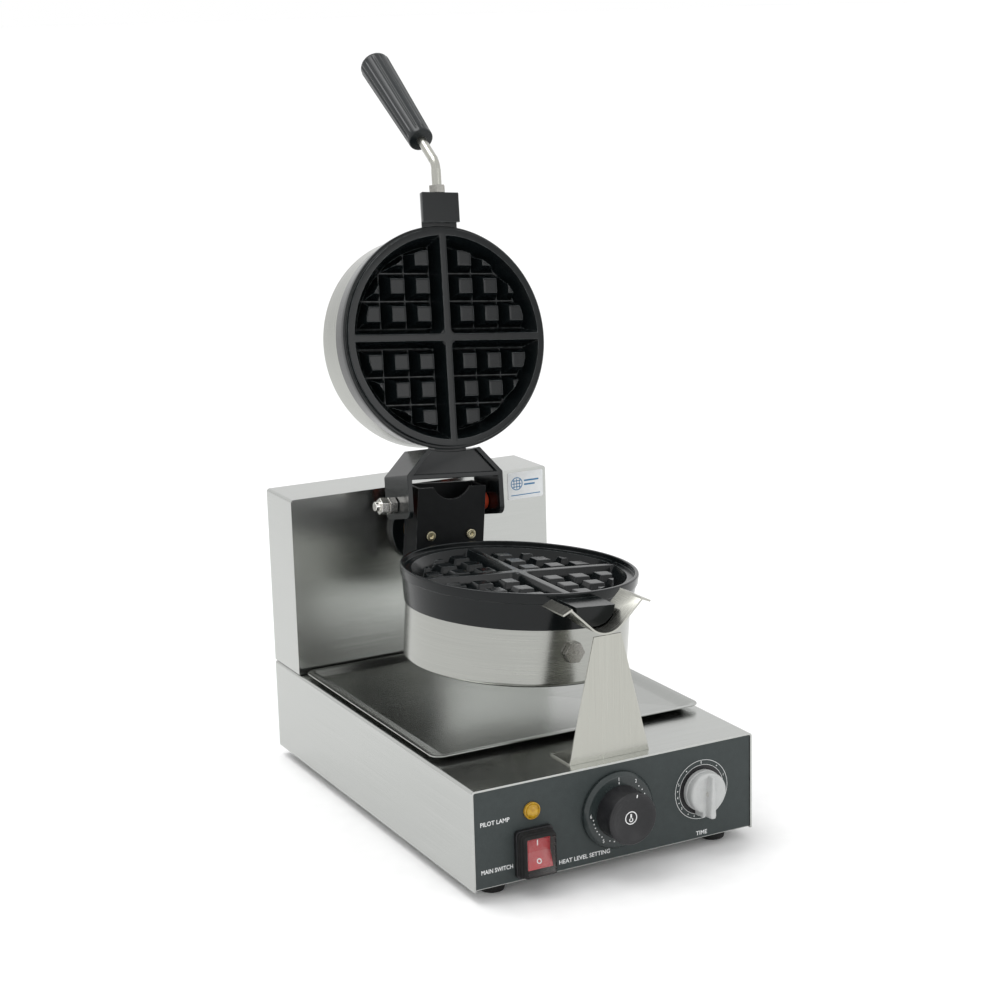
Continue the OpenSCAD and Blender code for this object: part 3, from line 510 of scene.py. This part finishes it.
def joinParts(parts):
    # Several (points, faces) parts as one.
    points, faces, base = [], [], 0
    for partPoints, partFaces in parts:
        points.append(partPoints)
        faces += [[i + base for i in f] for f in faceLists(partFaces)]
        base += len(partPoints)
    return np.concatenate(points), faces


def addPiece(name, part, place, finish, body, cadNodes=(), sharp=crispAngle):
    # Moves (points, faces), in millimetres of the piece's own place, into the frame and finishes the piece.
    points, faces = part
    spin = np.array(place.to_3x3())
    shift = np.array(place.to_translation())
    mesh = bpy.data.meshes.new(name)
    mesh.from_pydata((points / 1000 @ spin.T + shift).tolist(), [], faceLists(faces))
    work = bmesh.new()
    work.from_mesh(mesh)
    bmesh.ops.remove_doubles(work, verts=work.verts, dist=mergeMetres)
    bmesh.ops.recalc_face_normals(work, faces=work.faces)
    work.to_mesh(mesh)
    work.free()
    finishPiece(name, mesh, finish, body, cadNodes, sharp)


def finishPiece(name, mesh, finish, body, cadNodes, sharp, bevel=0.0):
    # Edges past the sharp angle stay crisp, and a bevel in millimetres rounds them.
    mesh.shade_smooth()
    mesh.set_sharp_from_angle(angle=math.radians(sharp))
    mesh.materials.clear()
    mesh.materials.append(finishes[finish] if isinstance(finish, str) else finish)
    piece = bpy.data.objects.new(name, mesh)
    scene.collection.objects.link(piece)
    if bevel > 0:
        rounding = piece.modifiers.new("rounding", "BEVEL")
        rounding.width = bevel / 1000
        rounding.segments = 2
        rounding.limit_method = "ANGLE"
        rounding.angle_limit = math.radians(30)
        rounding.harden_normals = True
    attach(piece, body)
    if cadNodes:
        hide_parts(*cadNodes)


def cleanCopy(node, bevel, finish):
    # The CAD node's own shape, merged and flattened into whole faces, with its edges rounded.
    work = bmesh.new()
    work.from_mesh(nodes[node].data)
    bmesh.ops.remove_doubles(work, verts=work.verts, dist=mergeMetres)
    bmesh.ops.dissolve_limit(work, angle_limit=math.radians(0.6), verts=work.verts, edges=work.edges)
    mesh = bpy.data.meshes.new(camelCase(node))
    work.to_mesh(mesh)
    work.free()
    finishPiece(mesh.name, mesh, finish, nodes[node]["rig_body"], [node], crispAngle, bevel)


# Sheet metal, cast bracket, fasteners and rubber that keep the frame's shapes, with rounded edges

roundings = {
    "base_shell": 0.35, "tower_shell": 0.35, "front_panel": 0.2, "bottom_plate": 0.15,
    "tower_gasket": 0.2, "tower_back_cover": 0.2, "tower_cover_screws": 0.3, "bottom_plate_screws": 0.3,
    "foot_screws": 0.3, "feet": 0.8, "cradle_stand": 0.3, "cradle_trough": 0.3, "bearing_housing": 0.8,
    "housing_screws": 0.5, "hub_plate": 0.5, "hinge_plate": 0.4, "hinge_plate_screws": 0.5,
    "lug_bolts": 0.5, "lower_shroud_bolts": 0.6, "hinge_pin": 0.5, "hinge_nuts": 0.5,
    "silicone_bushes": 1.2, "lid_bracket": 0.6, "lid_bracket_screws": 0.5, "upper_shroud_nut": 0.5,
    "handle_nut": 0.5, "cable_gland": 0.6, "gland_nut": 0.4, "hollow_shaft": 0.6, "shaft_collar": 0.6,
    "switch_bezel": 0.5, "pilot_body": 0.3, "switch_rocker": 0.5, "handle_rod": 0.0,
}
# The hollow shaft takes the near-black steel that paints the shade in its notch.
ownFinish = {"cradle_stand": "steelStand", "cradle_trough": "steelStand", "hollow_shaft": "darkShaft",
             "lower_shroud_bolts": "boltSteel", "handle_nut": "boltSteel", "handle_rod": "steelStand"}
for node, bevel in roundings.items():
    cleanCopy(node, bevel, ownFinish.get(node, camelCase(slotOf[node])))
print("copies made:", len(roundings))


# Cast moulds

mould = {"middleY": 150.9, "mouthR": 88.0, "floorR": 80.0, "depth": 15.4, "pegFirst": 20.5, "pegPitch": 24.0,
         "pegTop": 12.7, "pegBase": 23.2, "pegHeight": 13.6, "pegEdge": 79.4, "pegEdgeSlope": 7,
         "pegs": 3, "ribTop": 6.0, "ribBase": 16.2, "crossBlend": 6.0, "topGap": 0.02, "cell": 0.95,
         "skirtInnerR": 87.0}


def smoothMax(a, b, blend):
    # The larger of two heights, with a fillet as wide as blend where they are equal.
    share = np.clip(0.5 + 0.5 * (a - b) / blend, 0, 1)
    return b + (a - b) * share + blend * share * (1 - share)


def waffleHeight(x, y):
    # Height below the parting face: floor, sloped wall, pyramid pegs and a tapered cross, joined by fillets.
    m = mould
    r = np.hypot(x, y)
    floor = np.full_like(x, -m["depth"])
    wall = floor + (r - m["floorR"]) * m["depth"] / (m["mouthR"] - m["floorR"])
    away = []
    for t in (np.abs(x) - m["pegFirst"], np.abs(y) - m["pegFirst"]):
        nearest = np.clip(np.round(t / m["pegPitch"]), 0, m["pegs"] - 1)
        away.append(np.abs(t - m["pegPitch"] * nearest))
    off = smoothMax(away[0], away[1], 0.5)
    rise = (m["pegBase"] / 2 - off) * m["pegHeight"] / (m["pegBase"] / 2 - m["pegTop"] / 2)
    rise = np.minimum(rise, (m["pegEdge"] - r) * m["pegEdgeSlope"])
    peg = floor - smoothMax(-rise, np.full_like(x, -m["pegHeight"]), 0.7)
    cross = -smoothMax(-np.abs(x), -np.abs(y), m["crossBlend"])
    rib = (m["ribTop"] / 2 - cross) * m["depth"] / (m["ribBase"] / 2 - m["ribTop"] / 2)
    rib = -smoothMax(-rib, np.zeros_like(x), 0.6)
    height = smoothMax(floor, peg, 0.5)
    height = smoothMax(height, wall, 1.2)
    height = smoothMax(height, rib, 1.6)
    return np.minimum(height, -m["topGap"])


def waffleSheet(cell):
    # Square grid over the cavity, its lines laid on the edges of the pegs; near a round crease the points
    # move onto it. Gives the points, the faces and the angles of the points on the mouth.
    m = mould
    edges = [0, m["ribTop"] / 2, m["ribBase"] / 2]
    for i in range(m["pegs"]):
        centre = m["pegFirst"] + i * m["pegPitch"]
        edges += [centre - m["pegBase"] / 2, centre - m["pegTop"] / 2, centre + m["pegTop"] / 2,
                  centre + m["pegBase"] / 2]
    edges = [e for e in edges if e < m["mouthR"]] + [m["mouthR"]]
    half = np.concatenate([np.linspace(a, b, max(2, int(math.ceil((b - a) / cell)) + 1))[:-1]
                           for a, b in zip(edges, edges[1:])] + [[m["mouthR"]]])
    line = np.concatenate([-half[:0:-1], half])
    x, y = (g.ravel() for g in np.meshgrid(line, line, indexing="ij"))
    faces = gridFaces(len(line), len(line), closed=False)
    inside = np.hypot(x, y) <= m["mouthR"] - 0.15
    faces = faces[inside[faces].all(axis=1)]
    used, faces = np.unique(faces, return_inverse=True)
    faces = faces.reshape(-1, 4)
    x, y = x[used], y[used]
    count = np.bincount(faces.ravel(), minlength=len(x))
    r = np.hypot(x, y)
    mouth = (count < 4) & (r > m["mouthR"] - 2.5 * cell)
    crease = np.abs(r - m["floorR"]) < cell / 2
    onCrease = np.where(crease, m["floorR"] / np.maximum(r, 1), 1)
    scale = np.where(mouth, m["mouthR"] / np.maximum(r, 1), onCrease)
    x, y = x * scale, y * scale
    z = np.where(mouth, 0.0, waffleHeight(x, y))
    return np.stack([x, y, z], axis=1), faces, np.sort(np.arctan2(y[mouth], x[mouth]))


def halfRound(radius, y0, y1, flat, centreZ, sign):
    # Lug: the part of a rod along y below (sign -1) or above (sign 1) the flat height, its front drawn in.
    gap = (flat - centreZ) * sign
    half = math.acos(np.clip(gap / radius, -1, 1))
    count = 40
    angles = np.linspace(-half, half, count)
    x, z = radius * np.sin(angles), centreZ + sign * radius * np.cos(angles)
    ys = np.array([y0, y0 + 0.6, y1])
    shrink = np.array([0.97, 1.0, 1.0])[:, None]
    points = np.stack([x * shrink, ys[:, None] + 0 * x, flat + (z - flat) * shrink], axis=2)
    return points.reshape(-1, 3), capEnds(gridFaces(3, count), count, 3)


def slab(low, high):
    # Plain block between two corners.
    x, y, z = zip(low, high)
    points = np.array([(x[i], y[j], z[k]) for i in (0, 1) for j in (0, 1) for k in (0, 1)], float)
    return points, [[0, 1, 3, 2], [4, 6, 7, 5], [0, 4, 5, 1], [2, 3, 7, 6], [0, 2, 6, 4], [1, 5, 7, 3]]


def makeMould(name, node, place, face, sign, outline, lugs):
    # Cavity sheet, the turned rim and skirt that close it, and the lugs; sign is the side the mould faces.
    sheet, faces, angles = waffleSheet(mould["cell"])
    sheet = sheet * (1, 1, sign) + (0, mould["middleY"], face)
    rim, rimFaces = revolve(outline, angles=angles)
    rim = rim + (0, mould["middleY"], 0)
    part = joinParts([(sheet, faces), (rim, rimFaces)] + lugs)
    addPiece(name, part, place, "coatedCast", nodes[node]["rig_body"], [node], sharp=40)


lug = {"radius": 17.5, "axisZ": 198.4}
lower = {"face": 197.4, "nestR": 94.3, "rimZ": 201.6, "rimR": 97.7, "skirtZ": 171.0, "skirtR": 93.0,
         "under": 178.0}
upper = {"face": 197.9, "spigotR": 93.8, "rimZ": 202, "rimR": 96.5, "skirtZ": 225.6, "skirtR": 93.6,
         "top": 217.3}


def lowerMouldOutline():
    # From the mouth over the nest and the rim, down the skirt and back along the underside to the axis.
    m, inner = lower, mould["skirtInnerR"]
    return fillet([(mould["mouthR"], m["face"], 0), (m["nestR"], m["face"], 0.4),
                   (m["nestR"], m["rimZ"], 0.7), (m["rimR"], m["rimZ"], 1.2), (97.0, 193.4, 0.6),
                   (95.9, 192.9, 0.5), (m["skirtR"], m["skirtZ"], 0.8), (inner, m["skirtZ"], 0),
                   (inner, m["under"], 0), (0, m["under"], 0)])


def upperMouldOutline():
    # From the mouth over the spigot and the rim, up the skirt and back along the top to the axis.
    m, inner = upper, mould["skirtInnerR"]
    return fillet([(mould["mouthR"], m["face"], 0), (m["spigotR"], m["face"], 0.6),
                   (m["spigotR"], m["rimZ"], 0.4), (m["rimR"], m["rimZ"], 0.9), (96.0, 209, 0.6),
                   (95.0, 209.6, 0.5), (m["skirtR"], m["skirtZ"], 0.8), (inner, m["skirtZ"], 0),
                   (inner, m["top"], 0), (0, m["top"], 0)])


makeMould("lowerMould", "lower_mould", headPlace, lower["face"], 1, lowerMouldOutline(),
          [halfRound(lug["radius"], 27, 66, lower["face"], lug["axisZ"], -1),
           slab((-26, 236, 172), (26, 277, 190))])
makeMould("upperMould", "upper_mould", lidPlace, upper["face"], -1, upperMouldOutline(),
          [halfRound(lug["radius"], 26, 51.5, upper["face"], lug["axisZ"], 1),
           halfRound(lug["radius"], 51, 66, 203.2, lug["axisZ"], 1),
           slab((-15, 236, 206.4), (15, 264, 220))])
print("moulds made")


# Spun shrouds

seam = {"x": 9, "radius": 92, "halfWidth": 0.3, "depth": 0.35, "wallFrom": 91.5,
        "lines": (-0.9, -0.45, -0.2, 0.2, 0.45, 0.9)}


def cup(radius, thickness, closedZ, openZ, cornerR):
    # Outline of a cup from the middle of its closed end, over its outside and back along its inside.
    innerR = radius - thickness
    innerZ = closedZ + (thickness if openZ > closedZ else -thickness)
    return fillet([(0, closedZ, 0), (radius, closedZ, cornerR), (radius, openZ, 0), (innerR, openZ, 0),
                   (innerR, innerZ, cornerR - thickness), (0, innerZ, 0)], 8)


def makeShroud(name, node, place, outline):
    # Spun cup with a shallow pressed seam line at its back, close to the middle.
    middle = math.atan2(seam["radius"], seam["x"])
    near = middle + np.array(seam["lines"]) / seam["radius"]
    angles = np.sort(np.mod(np.concatenate([evenAngles(240), near]), 2 * np.pi))
    points, faces = revolve(outline, angles=angles)
    turned = np.arctan2(points[:, 1], points[:, 0])
    inSeam = np.abs(np.angle(np.exp(1j * (turned - middle)))) * seam["radius"] < seam["halfWidth"]
    radius = np.hypot(points[:, 0], points[:, 1])
    deep = inSeam & (radius > seam["wallFrom"])
    points[deep, :2] *= ((radius[deep] - seam["depth"]) / radius[deep])[:, None]
    points = points + (0, mould["middleY"], 0)
    axis = place @ millimetres(0, mould["middleY"], 0)
    finish = makeFinish(name + "Steel", finishLooks["steelPan"], axis)
    addPiece(name, (points, faces), place, finish, nodes[node]["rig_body"], [node])


makeShroud("lowerShroud", "lower_shroud", headPlace, cup(92, 1.2, 124.5, 171, 4))
makeShroud("upperShroud", "upper_shroud", lidPlace, cup(92.6, 1.2, 258, 225.6, 4))
print("shrouds made")


# Handle grip: a tapered body with shallow flutes

grip = {"bendY": 6, "rodZ": 203.4, "bendR": 14, "bend": 46, "gap": 29.3, "length": 123, "nearR": 11.0,
        "farR": 14.0, "endR": 5.0, "flutes": 12, "fluteDepth": 0.7}


def makeGrip():
    # The radius grows evenly along the grip and rounds off at its far end; a flute is max(0, cos)^1.5 deep.
    g = grip
    body = np.linspace(1.2, g["length"] - g["endR"], 46)
    end = np.linspace(0, np.pi / 2, 10)[1:]
    along = np.concatenate([[0, 0, 0.4], body, g["length"] - g["endR"] + g["endR"] * np.sin(end)])
    full = g["nearR"] + (g["farR"] - g["nearR"]) * body / (g["length"] - g["endR"])
    radius = np.concatenate([[0, g["nearR"] - 1.2, g["nearR"] - 0.3], full,
                             g["farR"] - g["endR"] * (1 - np.cos(end))])
    fade = np.clip((along - 3) / 6, 0, 1) * np.clip((g["length"] - 2 - along) / 8, 0, 1)
    angles = evenAngles(288)
    groove = np.clip(np.cos(angles * g["flutes"]), 0, 1) ** 1.5
    r = radius[:, None] - g["fluteDepth"] * fade[:, None] * groove
    rings = np.stack([r * np.cos(angles), r * np.sin(angles), along[:, None] + 0 * r], axis=2)
    points = np.concatenate([rings.reshape(-1, 3), [[0, 0, g["length"]]]])
    count, last = len(angles), (len(along) - 1) * len(angles)
    fan = [[last + i, last + (i + 1) % count, len(points) - 1] for i in range(count)]
    return points, gridFaces(len(along), count).tolist() + fan


alongGrip = (lidPlace @ millimetres(0, grip["bendY"], grip["rodZ"] + grip["bendR"]) @ tilt(-grip["bend"])
             @ millimetres(0, 0, -grip["bendR"]) @ tilt(90) @ millimetres(0, 0, grip["gap"]))
addPiece("handleGrip", makeGrip(), alongGrip, "gripPlastic", "lid", ["handle_grip"])


# Drip tray: folded sheet with a raised rim

tray = {"width": 244, "depth": 259, "middleY": 197.5, "floorZ": 80.1, "corner": 10, "cornerSteps": 10}
trayRings = [(13.0, 0), (12.2, 0.3), (8.0, 2.4), (3.4, 3.9), (0.6, 4.0), (0.1, 4.2), (0, 4.6), (0.3, 5.0),
             (3.2, 4.9), (4.6, 4.6), (8.0, 3.2), (11.6, 1.6), (13.2, 1.1), (14.4, 1.0)]
trayPoints, trayFaces = loftRectangle(tray["width"], tray["depth"], tray["corner"], trayRings,
                                      tray["cornerSteps"])
trayPlace = basePlace @ millimetres(0, tray["middleY"], tray["floorZ"])
addPiece("dripTray", (trayPoints, capEnds(trayFaces, 4 * tray["cornerSteps"], len(trayRings))), trayPlace,
         "steelTray", "drip_tray", ["drip_tray"])
print("grip and tray made")


# Thermostat knob: a skirt that carries the scale, and a grip with a dished front

panelY = 0.8
thermostat = {"x": 0, "z": 41, "back": -0.3, "skirtR": 31, "skirtTopR": 28.6, "skirtFront": 5, "gripR": 21,
              "gripFront": 24.9, "dishEdge": 17.4, "dishR": 37, "dishCentre": 57.5, "iconW": 20.86}
thermostatFace = facePlace(thermostat["x"], 0, thermostat["z"])


def thermostatOutlines():
    # Skirt and grip outlines; the dish is the arc w = dishCentre - sqrt(dishR^2 - u^2).
    t = thermostat
    skirt = fillet([(0, t["back"], 0), (t["skirtR"], t["back"], 0), (t["skirtR"], 2.0, 0.9),
                    (t["skirtTopR"], t["skirtFront"], 1.0), (0, t["skirtFront"], 0)])
    dish = np.linspace(t["dishEdge"], 0, 14)
    dishLine = np.stack([dish, t["dishCentre"] - np.sqrt(t["dishR"] ** 2 - dish ** 2)], axis=1)
    side = fillet([(0, 4.9, 0), (t["gripR"], 4.9, 0), (20.8, 23.4, 0.8), (19.6, t["gripFront"], 0.7),
                   (17.8, t["gripFront"], 0)])
    return skirt, np.concatenate([side, dishLine])


skirtOutline, gripOutline = thermostatOutlines()
addPiece("thermostatSkirt", revolve(skirtOutline), thermostatFace, "slateGloss", "thermostat_dial",
         ["thermostat_skirt"])
addPiece("thermostatGrip", revolve(gripOutline), thermostatFace, "blackPlastic", "thermostat_dial",
         ["thermostat_grip"])


# Timer knob: a disc with a squared tail, and a pointer bar across it

timer = {"x": 77.7, "z": 41.5, "discR": 16.8, "tailEnd": 19.8, "tailHalf": 6.2, "finTop": 16.9, "steps": 180}


def timerDisc():
    # Radius round the disc: the circle, or the tail's square end where that is further out, blended.
    t = timer
    angles = evenAngles(t["steps"])
    down, side = np.maximum(-np.sin(angles), 0.05), np.maximum(np.abs(np.cos(angles)), 0.05)
    tail = -smoothMax(-t["tailEnd"] / down, -t["tailHalf"] / side, 3.0)
    r = smoothMax(np.full_like(angles, t["discR"]), np.where(np.sin(angles) < 0, tail, 0), 1.4)
    rings = [(20, -0.2), (0.0, -0.2), (0.0, 3.4), (0.5, 3.8), (0.5, 8.6), (0.9, 9.8), (1.9, 10.7),
             (3.2, 11.0)]
    inset, level = (np.array(c, float)[:, None] for c in zip(*rings))
    inset = np.minimum(inset, r - 0.01)
    points = np.stack([(r - inset) * np.cos(angles), (r - inset) * np.sin(angles), level + 0 * inset],
                      axis=2)
    return points.reshape(-1, 3), capEnds(gridFaces(len(rings), t["steps"]), t["steps"], len(rings))


def timerFin():
    # Pointer bar: narrow at the top of the dial and wider towards the tail, drawn in as it rises.
    outline = fillet([(0, 15.2, 0), (1.4, 15.2, 1.2), (3.6, -17.0, 1.0), (2.6, -19.1, 1.0),
                      (0, -19.1, 0)], 5)
    mirrored = outline[1:-1][::-1] * (-1, 1)
    loop = np.concatenate([outline, mirrored])
    rings = [(1.0, 10.5), (0.96, 12.0), (0.80, 15.4), (0.66, 16.5), (0.46, timer["finTop"])]
    points = np.concatenate([np.column_stack([loop[:, 0] * k, loop[:, 1] * (0.97 + 0.03 * k),
                                              np.full(len(loop), w)]) for k, w in rings])
    return points, capEnds(gridFaces(len(rings), len(loop)), len(loop), len(rings))


timerFace = facePlace(timer["x"], 0, timer["z"])
addPiece("timerKnob", joinParts([timerDisc(), timerFin()]), timerFace, "greyPlastic", "timer_dial",
         ["timer_knob"])


# Pilot lens, and the clear boot over the switch: a dark sleeve and a window in it

lens = {"x": -74.5, "z": 55.5, "flangeR": 6.8, "domeR": 5.6, "domeHigh": 3.5, "domeFoot": 1.7}
lensRim = fillet([(0, 0, 0), (lens["flangeR"], 0, 0), (lens["flangeR"], 1.9, 0.5), (5.9, 2.2, 0.3),
                  (5.7, lens["domeFoot"], 0)])
lensDome = [(lens["domeR"] * math.cos(a), lens["domeFoot"] + lens["domeHigh"] * math.sin(a))
            for a in np.linspace(0.1, 1.57, 10)]
addPiece("pilotLens", revolve(np.concatenate([lensRim, lensDome]), 64),
         facePlace(lens["x"], panelY, lens["z"]), "amberLens", "base", ["pilot_lens"])

switch = {"x": -74, "z": 23, "bootY": -3.4, "width": 30, "height": 36, "axisY": 6, "tilt": -9}
bootFace = facePlace(switch["x"], switch["bootY"], switch["z"])
sleeveRings = [(4.2, 0.0), (0, 0.0), (0, 1.0), (1.4, 1.5), (1.4, 3.0), (0.7, 3.5), (0.7, 4.6), (2.0, 5.1),
               (2.0, 6.6), (1.4, 7.1), (1.4, 8.2), (1.9, 8.7), (2.1, 9.8), (2.5, 10.2), (2.9, 10.0),
               (3.2, 9.2)]
sleevePoints, sleeveFaces = loftRectangle(switch["width"], switch["height"], 3.4,
                                          sleeveRings + [sleeveRings[0]])
addPiece("switchSleeve", (sleevePoints, sleeveFaces), bootFace, "blackRubber", "base",
         ["switch_cover"], sharp=50)


def windowPart():
    # The rings run up the outside and down the inside; a flat pane closes each of the two front rings.
    rings = [(3.1, 9.0), (2.9, 10.1), (3.4, 10.9), (4.4, 11.3), (6.2, 11.4), (6.2, 10.8), (4.6, 10.7),
             (3.9, 10.3), (3.6, 9.0)]
    points, faces = loftRectangle(switch["width"], switch["height"], 4.2, rings)
    count = len(points) // len(rings)
    outerStart, innerStart = 4 * count, 5 * count
    panes = [[outerStart + i for i in range(count)], [innerStart + i for i in range(count)][::-1]]
    sides = [f for f in faces.tolist() if not outerStart <= min(f) < innerStart]
    return points, sides + panes


addPiece("switchWindow", windowPart(), bootFace, "clearBoot", "base")
print("controls made")


# Prints: thin raised ink, and a dark disc of painted shade round the timer knob

ink = {"low": -0.04, "high": 0.05}
capitalHeight = 0.70


def ring(inner, outer, u=0.0, v=0.0):
    outline = np.array([(inner, ink["low"]), (outer, ink["low"]), (outer, ink["high"]),
                        (inner, ink["high"]), (inner, ink["low"])])
    points, faces = revolve(outline, 72)
    return points + (u, v, 0), faces


def dot(u, v, radius):
    outline = np.array([(0, ink["low"]), (radius, ink["low"]), (radius, ink["high"]), (0, ink["high"])])
    points, faces = revolve(outline, 12)
    return points + (u, v, 0), faces


def bar(u, v, width, length, degrees=0.0):
    # Bar centred on (u, v), turned anticlockwise from lying level.
    points, faces = slab((-length / 2, -width / 2, ink["low"]), (length / 2, width / 2, ink["high"]))
    a = math.radians(degrees)
    turned = np.column_stack([points[:, 0] * math.cos(a) - points[:, 1] * math.sin(a),
                              points[:, 0] * math.sin(a) + points[:, 1] * math.cos(a), points[:, 2]])
    return turned + (u, v, 0), faces


def lettering(words, height, u, v, narrow=0.82):
    # Text as a thin mesh centred on (u, v), with capitals of the given height; narrow scales its width.
    curve = bpy.data.curves.new("lettering", "FONT")
    curve.body = words
    curve.align_x, curve.align_y = "CENTER", "CENTER"
    curve.size = 1.0
    curve.resolution_u = 3
    curve.offset = 0.012
    curve.extrude = 0.02
    holder = bpy.data.objects.new("lettering", curve)
    scene.collection.objects.link(holder)
    bpy.context.view_layer.update()
    shaped = holder.evaluated_get(bpy.context.evaluated_depsgraph_get())
    mesh = bpy.data.meshes.new_from_object(shaped)
    points = np.zeros(len(mesh.vertices) * 3)
    mesh.vertices.foreach_get("co", points)
    points = points.reshape(-1, 3)
    faces = [list(f.vertices) for f in mesh.polygons]
    bpy.data.objects.remove(holder)
    bpy.data.meshes.remove(mesh)
    scale = height / capitalHeight
    level = np.where(points[:, 2] > 0, ink["high"], ink["low"])
    return np.column_stack([points[:, 0] * scale * narrow + u, points[:, 1] * scale + v, level]), faces


def onCircle(radius, degrees):
    return radius * math.cos(math.radians(degrees)), radius * math.sin(math.radians(degrees))


panelFace = facePlace(0, panelY, 0)
wordHeight = 3.4
panelPrint = [lettering("PILOT LAMP", wordHeight, -105.8, 52.0, 0.95),
              lettering("MAIN SWITCH", wordHeight, -104.8, 14.0, 0.86),
              lettering("HEAT LEVEL SETTING", wordHeight, -29.0, 8.0, 0.98),
              lettering("TIME", wordHeight, timer["x"], 5.2, 1.0)]
timerScaleR = 22.2
panelPrint += [ring(24.0, 24.35, timer["x"], timer["z"]), ring(20.2, 20.5, timer["x"], timer["z"])]
for number, degrees in zip("012345", (90, 22, -30, 214, 188, 160)):
    u, v = onCircle(timerScaleR, degrees)
    panelPrint.append(lettering(number, 2.0, timer["x"] + u, timer["z"] + v))
for degrees in (50, -4, 236, 252, 200, 174, 128):
    u, v = onCircle(timerScaleR, degrees)
    panelPrint.append(dot(timer["x"] + u, timer["z"] + v, 0.5))
# Dark disc round the timer knob's foot: painted shade that the knob casts on the panel.
addPiece("timerDarkDisc", ring(2.0, 20.1, timer["x"], timer["z"]), panelFace, "blackPlastic", "base")
addPiece("panelPrint", joinParts(panelPrint), panelFace, "whitePrint", "base")

scalePrint = []
for number, degrees in zip("123456", (92, 57, -10, -62, 234, 178)):
    u, v = onCircle(26.2, degrees)
    scalePrint.append(lettering(number, 2.9, u, v))
for degrees in np.concatenate([np.linspace(46, 4, 5), np.linspace(-22, -52, 4), np.linspace(-74, -114, 5),
                               np.linspace(226, 186, 6)]):
    u, v = onCircle(24.2, degrees)
    scalePrint.append(dot(u, v, 0.55))
u, v = onCircle(23.2, 92)
scalePrint.append(bar(u, v, 0.7, 1.6, 92))
addPiece("scalePrint", joinParts(scalePrint), thermostatFace @ millimetres(0, 0, thermostat["skirtFront"]),
         "whitePrint", "thermostat_dial")
addPiece("pointerPrint", bar(*onCircle(18.4, 80), 0.9, 2.4, 80),
         thermostatFace @ millimetres(0, 0, thermostat["gripFront"]), "whitePrint", "thermostat_dial")
icon = [ring(4.5, 5.3), ring(1.0, 1.8, 0, -1.6), bar(0, 1.2, 1.5, 4.0, 90)]
addPiece("knobIcon", joinParts(icon), thermostatFace @ millimetres(0, 0, thermostat["iconW"]), "whitePrint",
         "thermostat_dial")

rockerPlace = (basePlace @ millimetres(switch["x"], switch["axisY"], switch["z"]) @ tilt(switch["tilt"])
               @ millimetres(0, -switch["axisY"], 0))
rockerMarkY = -8.02
addPiece("rockerOnMark", bar(0, 0, 0.9, 4.6, 90), rockerPlace @ millimetres(0, rockerMarkY, 7.0) @ tilt(101),
         "whitePrint", "rocker")
addPiece("rockerOffMark", ring(1.3, 2.1), rockerPlace @ millimetres(0, rockerMarkY, -7.4) @ tilt(79),
         "whitePrint", "rocker")

sticker = {"x": 104, "y": 331, "z": 222.5, "width": 36, "height": 25, "corner": 1.6, "thick": 0.4}
stickerRings = [(0, 0), (0, 0.34), (0.15, sticker["thick"])]
stickerPoints, stickerFaces = loftRectangle(sticker["width"], sticker["height"], sticker["corner"],
                                            stickerRings)
stickerFace = facePlace(sticker["x"], sticker["y"], sticker["z"])
stickerLoop = len(stickerPoints) // len(stickerRings)
addPiece("blankSticker", (stickerPoints, capEnds(stickerFaces, stickerLoop, len(stickerRings))), stickerFace,
         "labelWhite", "base", ["blank_label"])
grid = {"u": -9, "v": 2.0, "gap": 2.8, "inner": 5.2, "outer": 6.0, "bar": 0.7, "middle": 9.6, "side": 8.0}
stickerPrint = [ring(grid["inner"], grid["outer"], grid["u"], grid["v"])]
for i in (-1, 0, 1):
    length = grid["middle"] if i == 0 else grid["side"]
    stickerPrint.append(bar(grid["u"] + i * grid["gap"], grid["v"], grid["bar"], length, 90))
    stickerPrint.append(bar(grid["u"], grid["v"] + i * grid["gap"], grid["bar"], length))
stickerPrint += [bar(6.0, 4.2, 1.5, 15), bar(4.0, 0.6, 1.5, 11), bar(0, -8.6, 0.8, 30)]
addPiece("stickerIcon", joinParts(stickerPrint), stickerFace @ millimetres(0, 0, sticker["thick"]),
         "bluePrint", "base")
print("prints made")


# Floor

floorReach = 300.0
floorCorners = np.array([[-1, -1, 0], [1, -1, 0], [1, 1, 0], [-1, 1, 0]], float) * floorReach
floorMesh = bpy.data.meshes.new("floor")
floorMesh.from_pydata(floorCorners.tolist(), [], [(0, 1, 2, 3)])
floorMesh.materials.append(finishes["paleFloor"])
floor = bpy.data.objects.new("floor", floorMesh)
scene.collection.objects.link(floor)
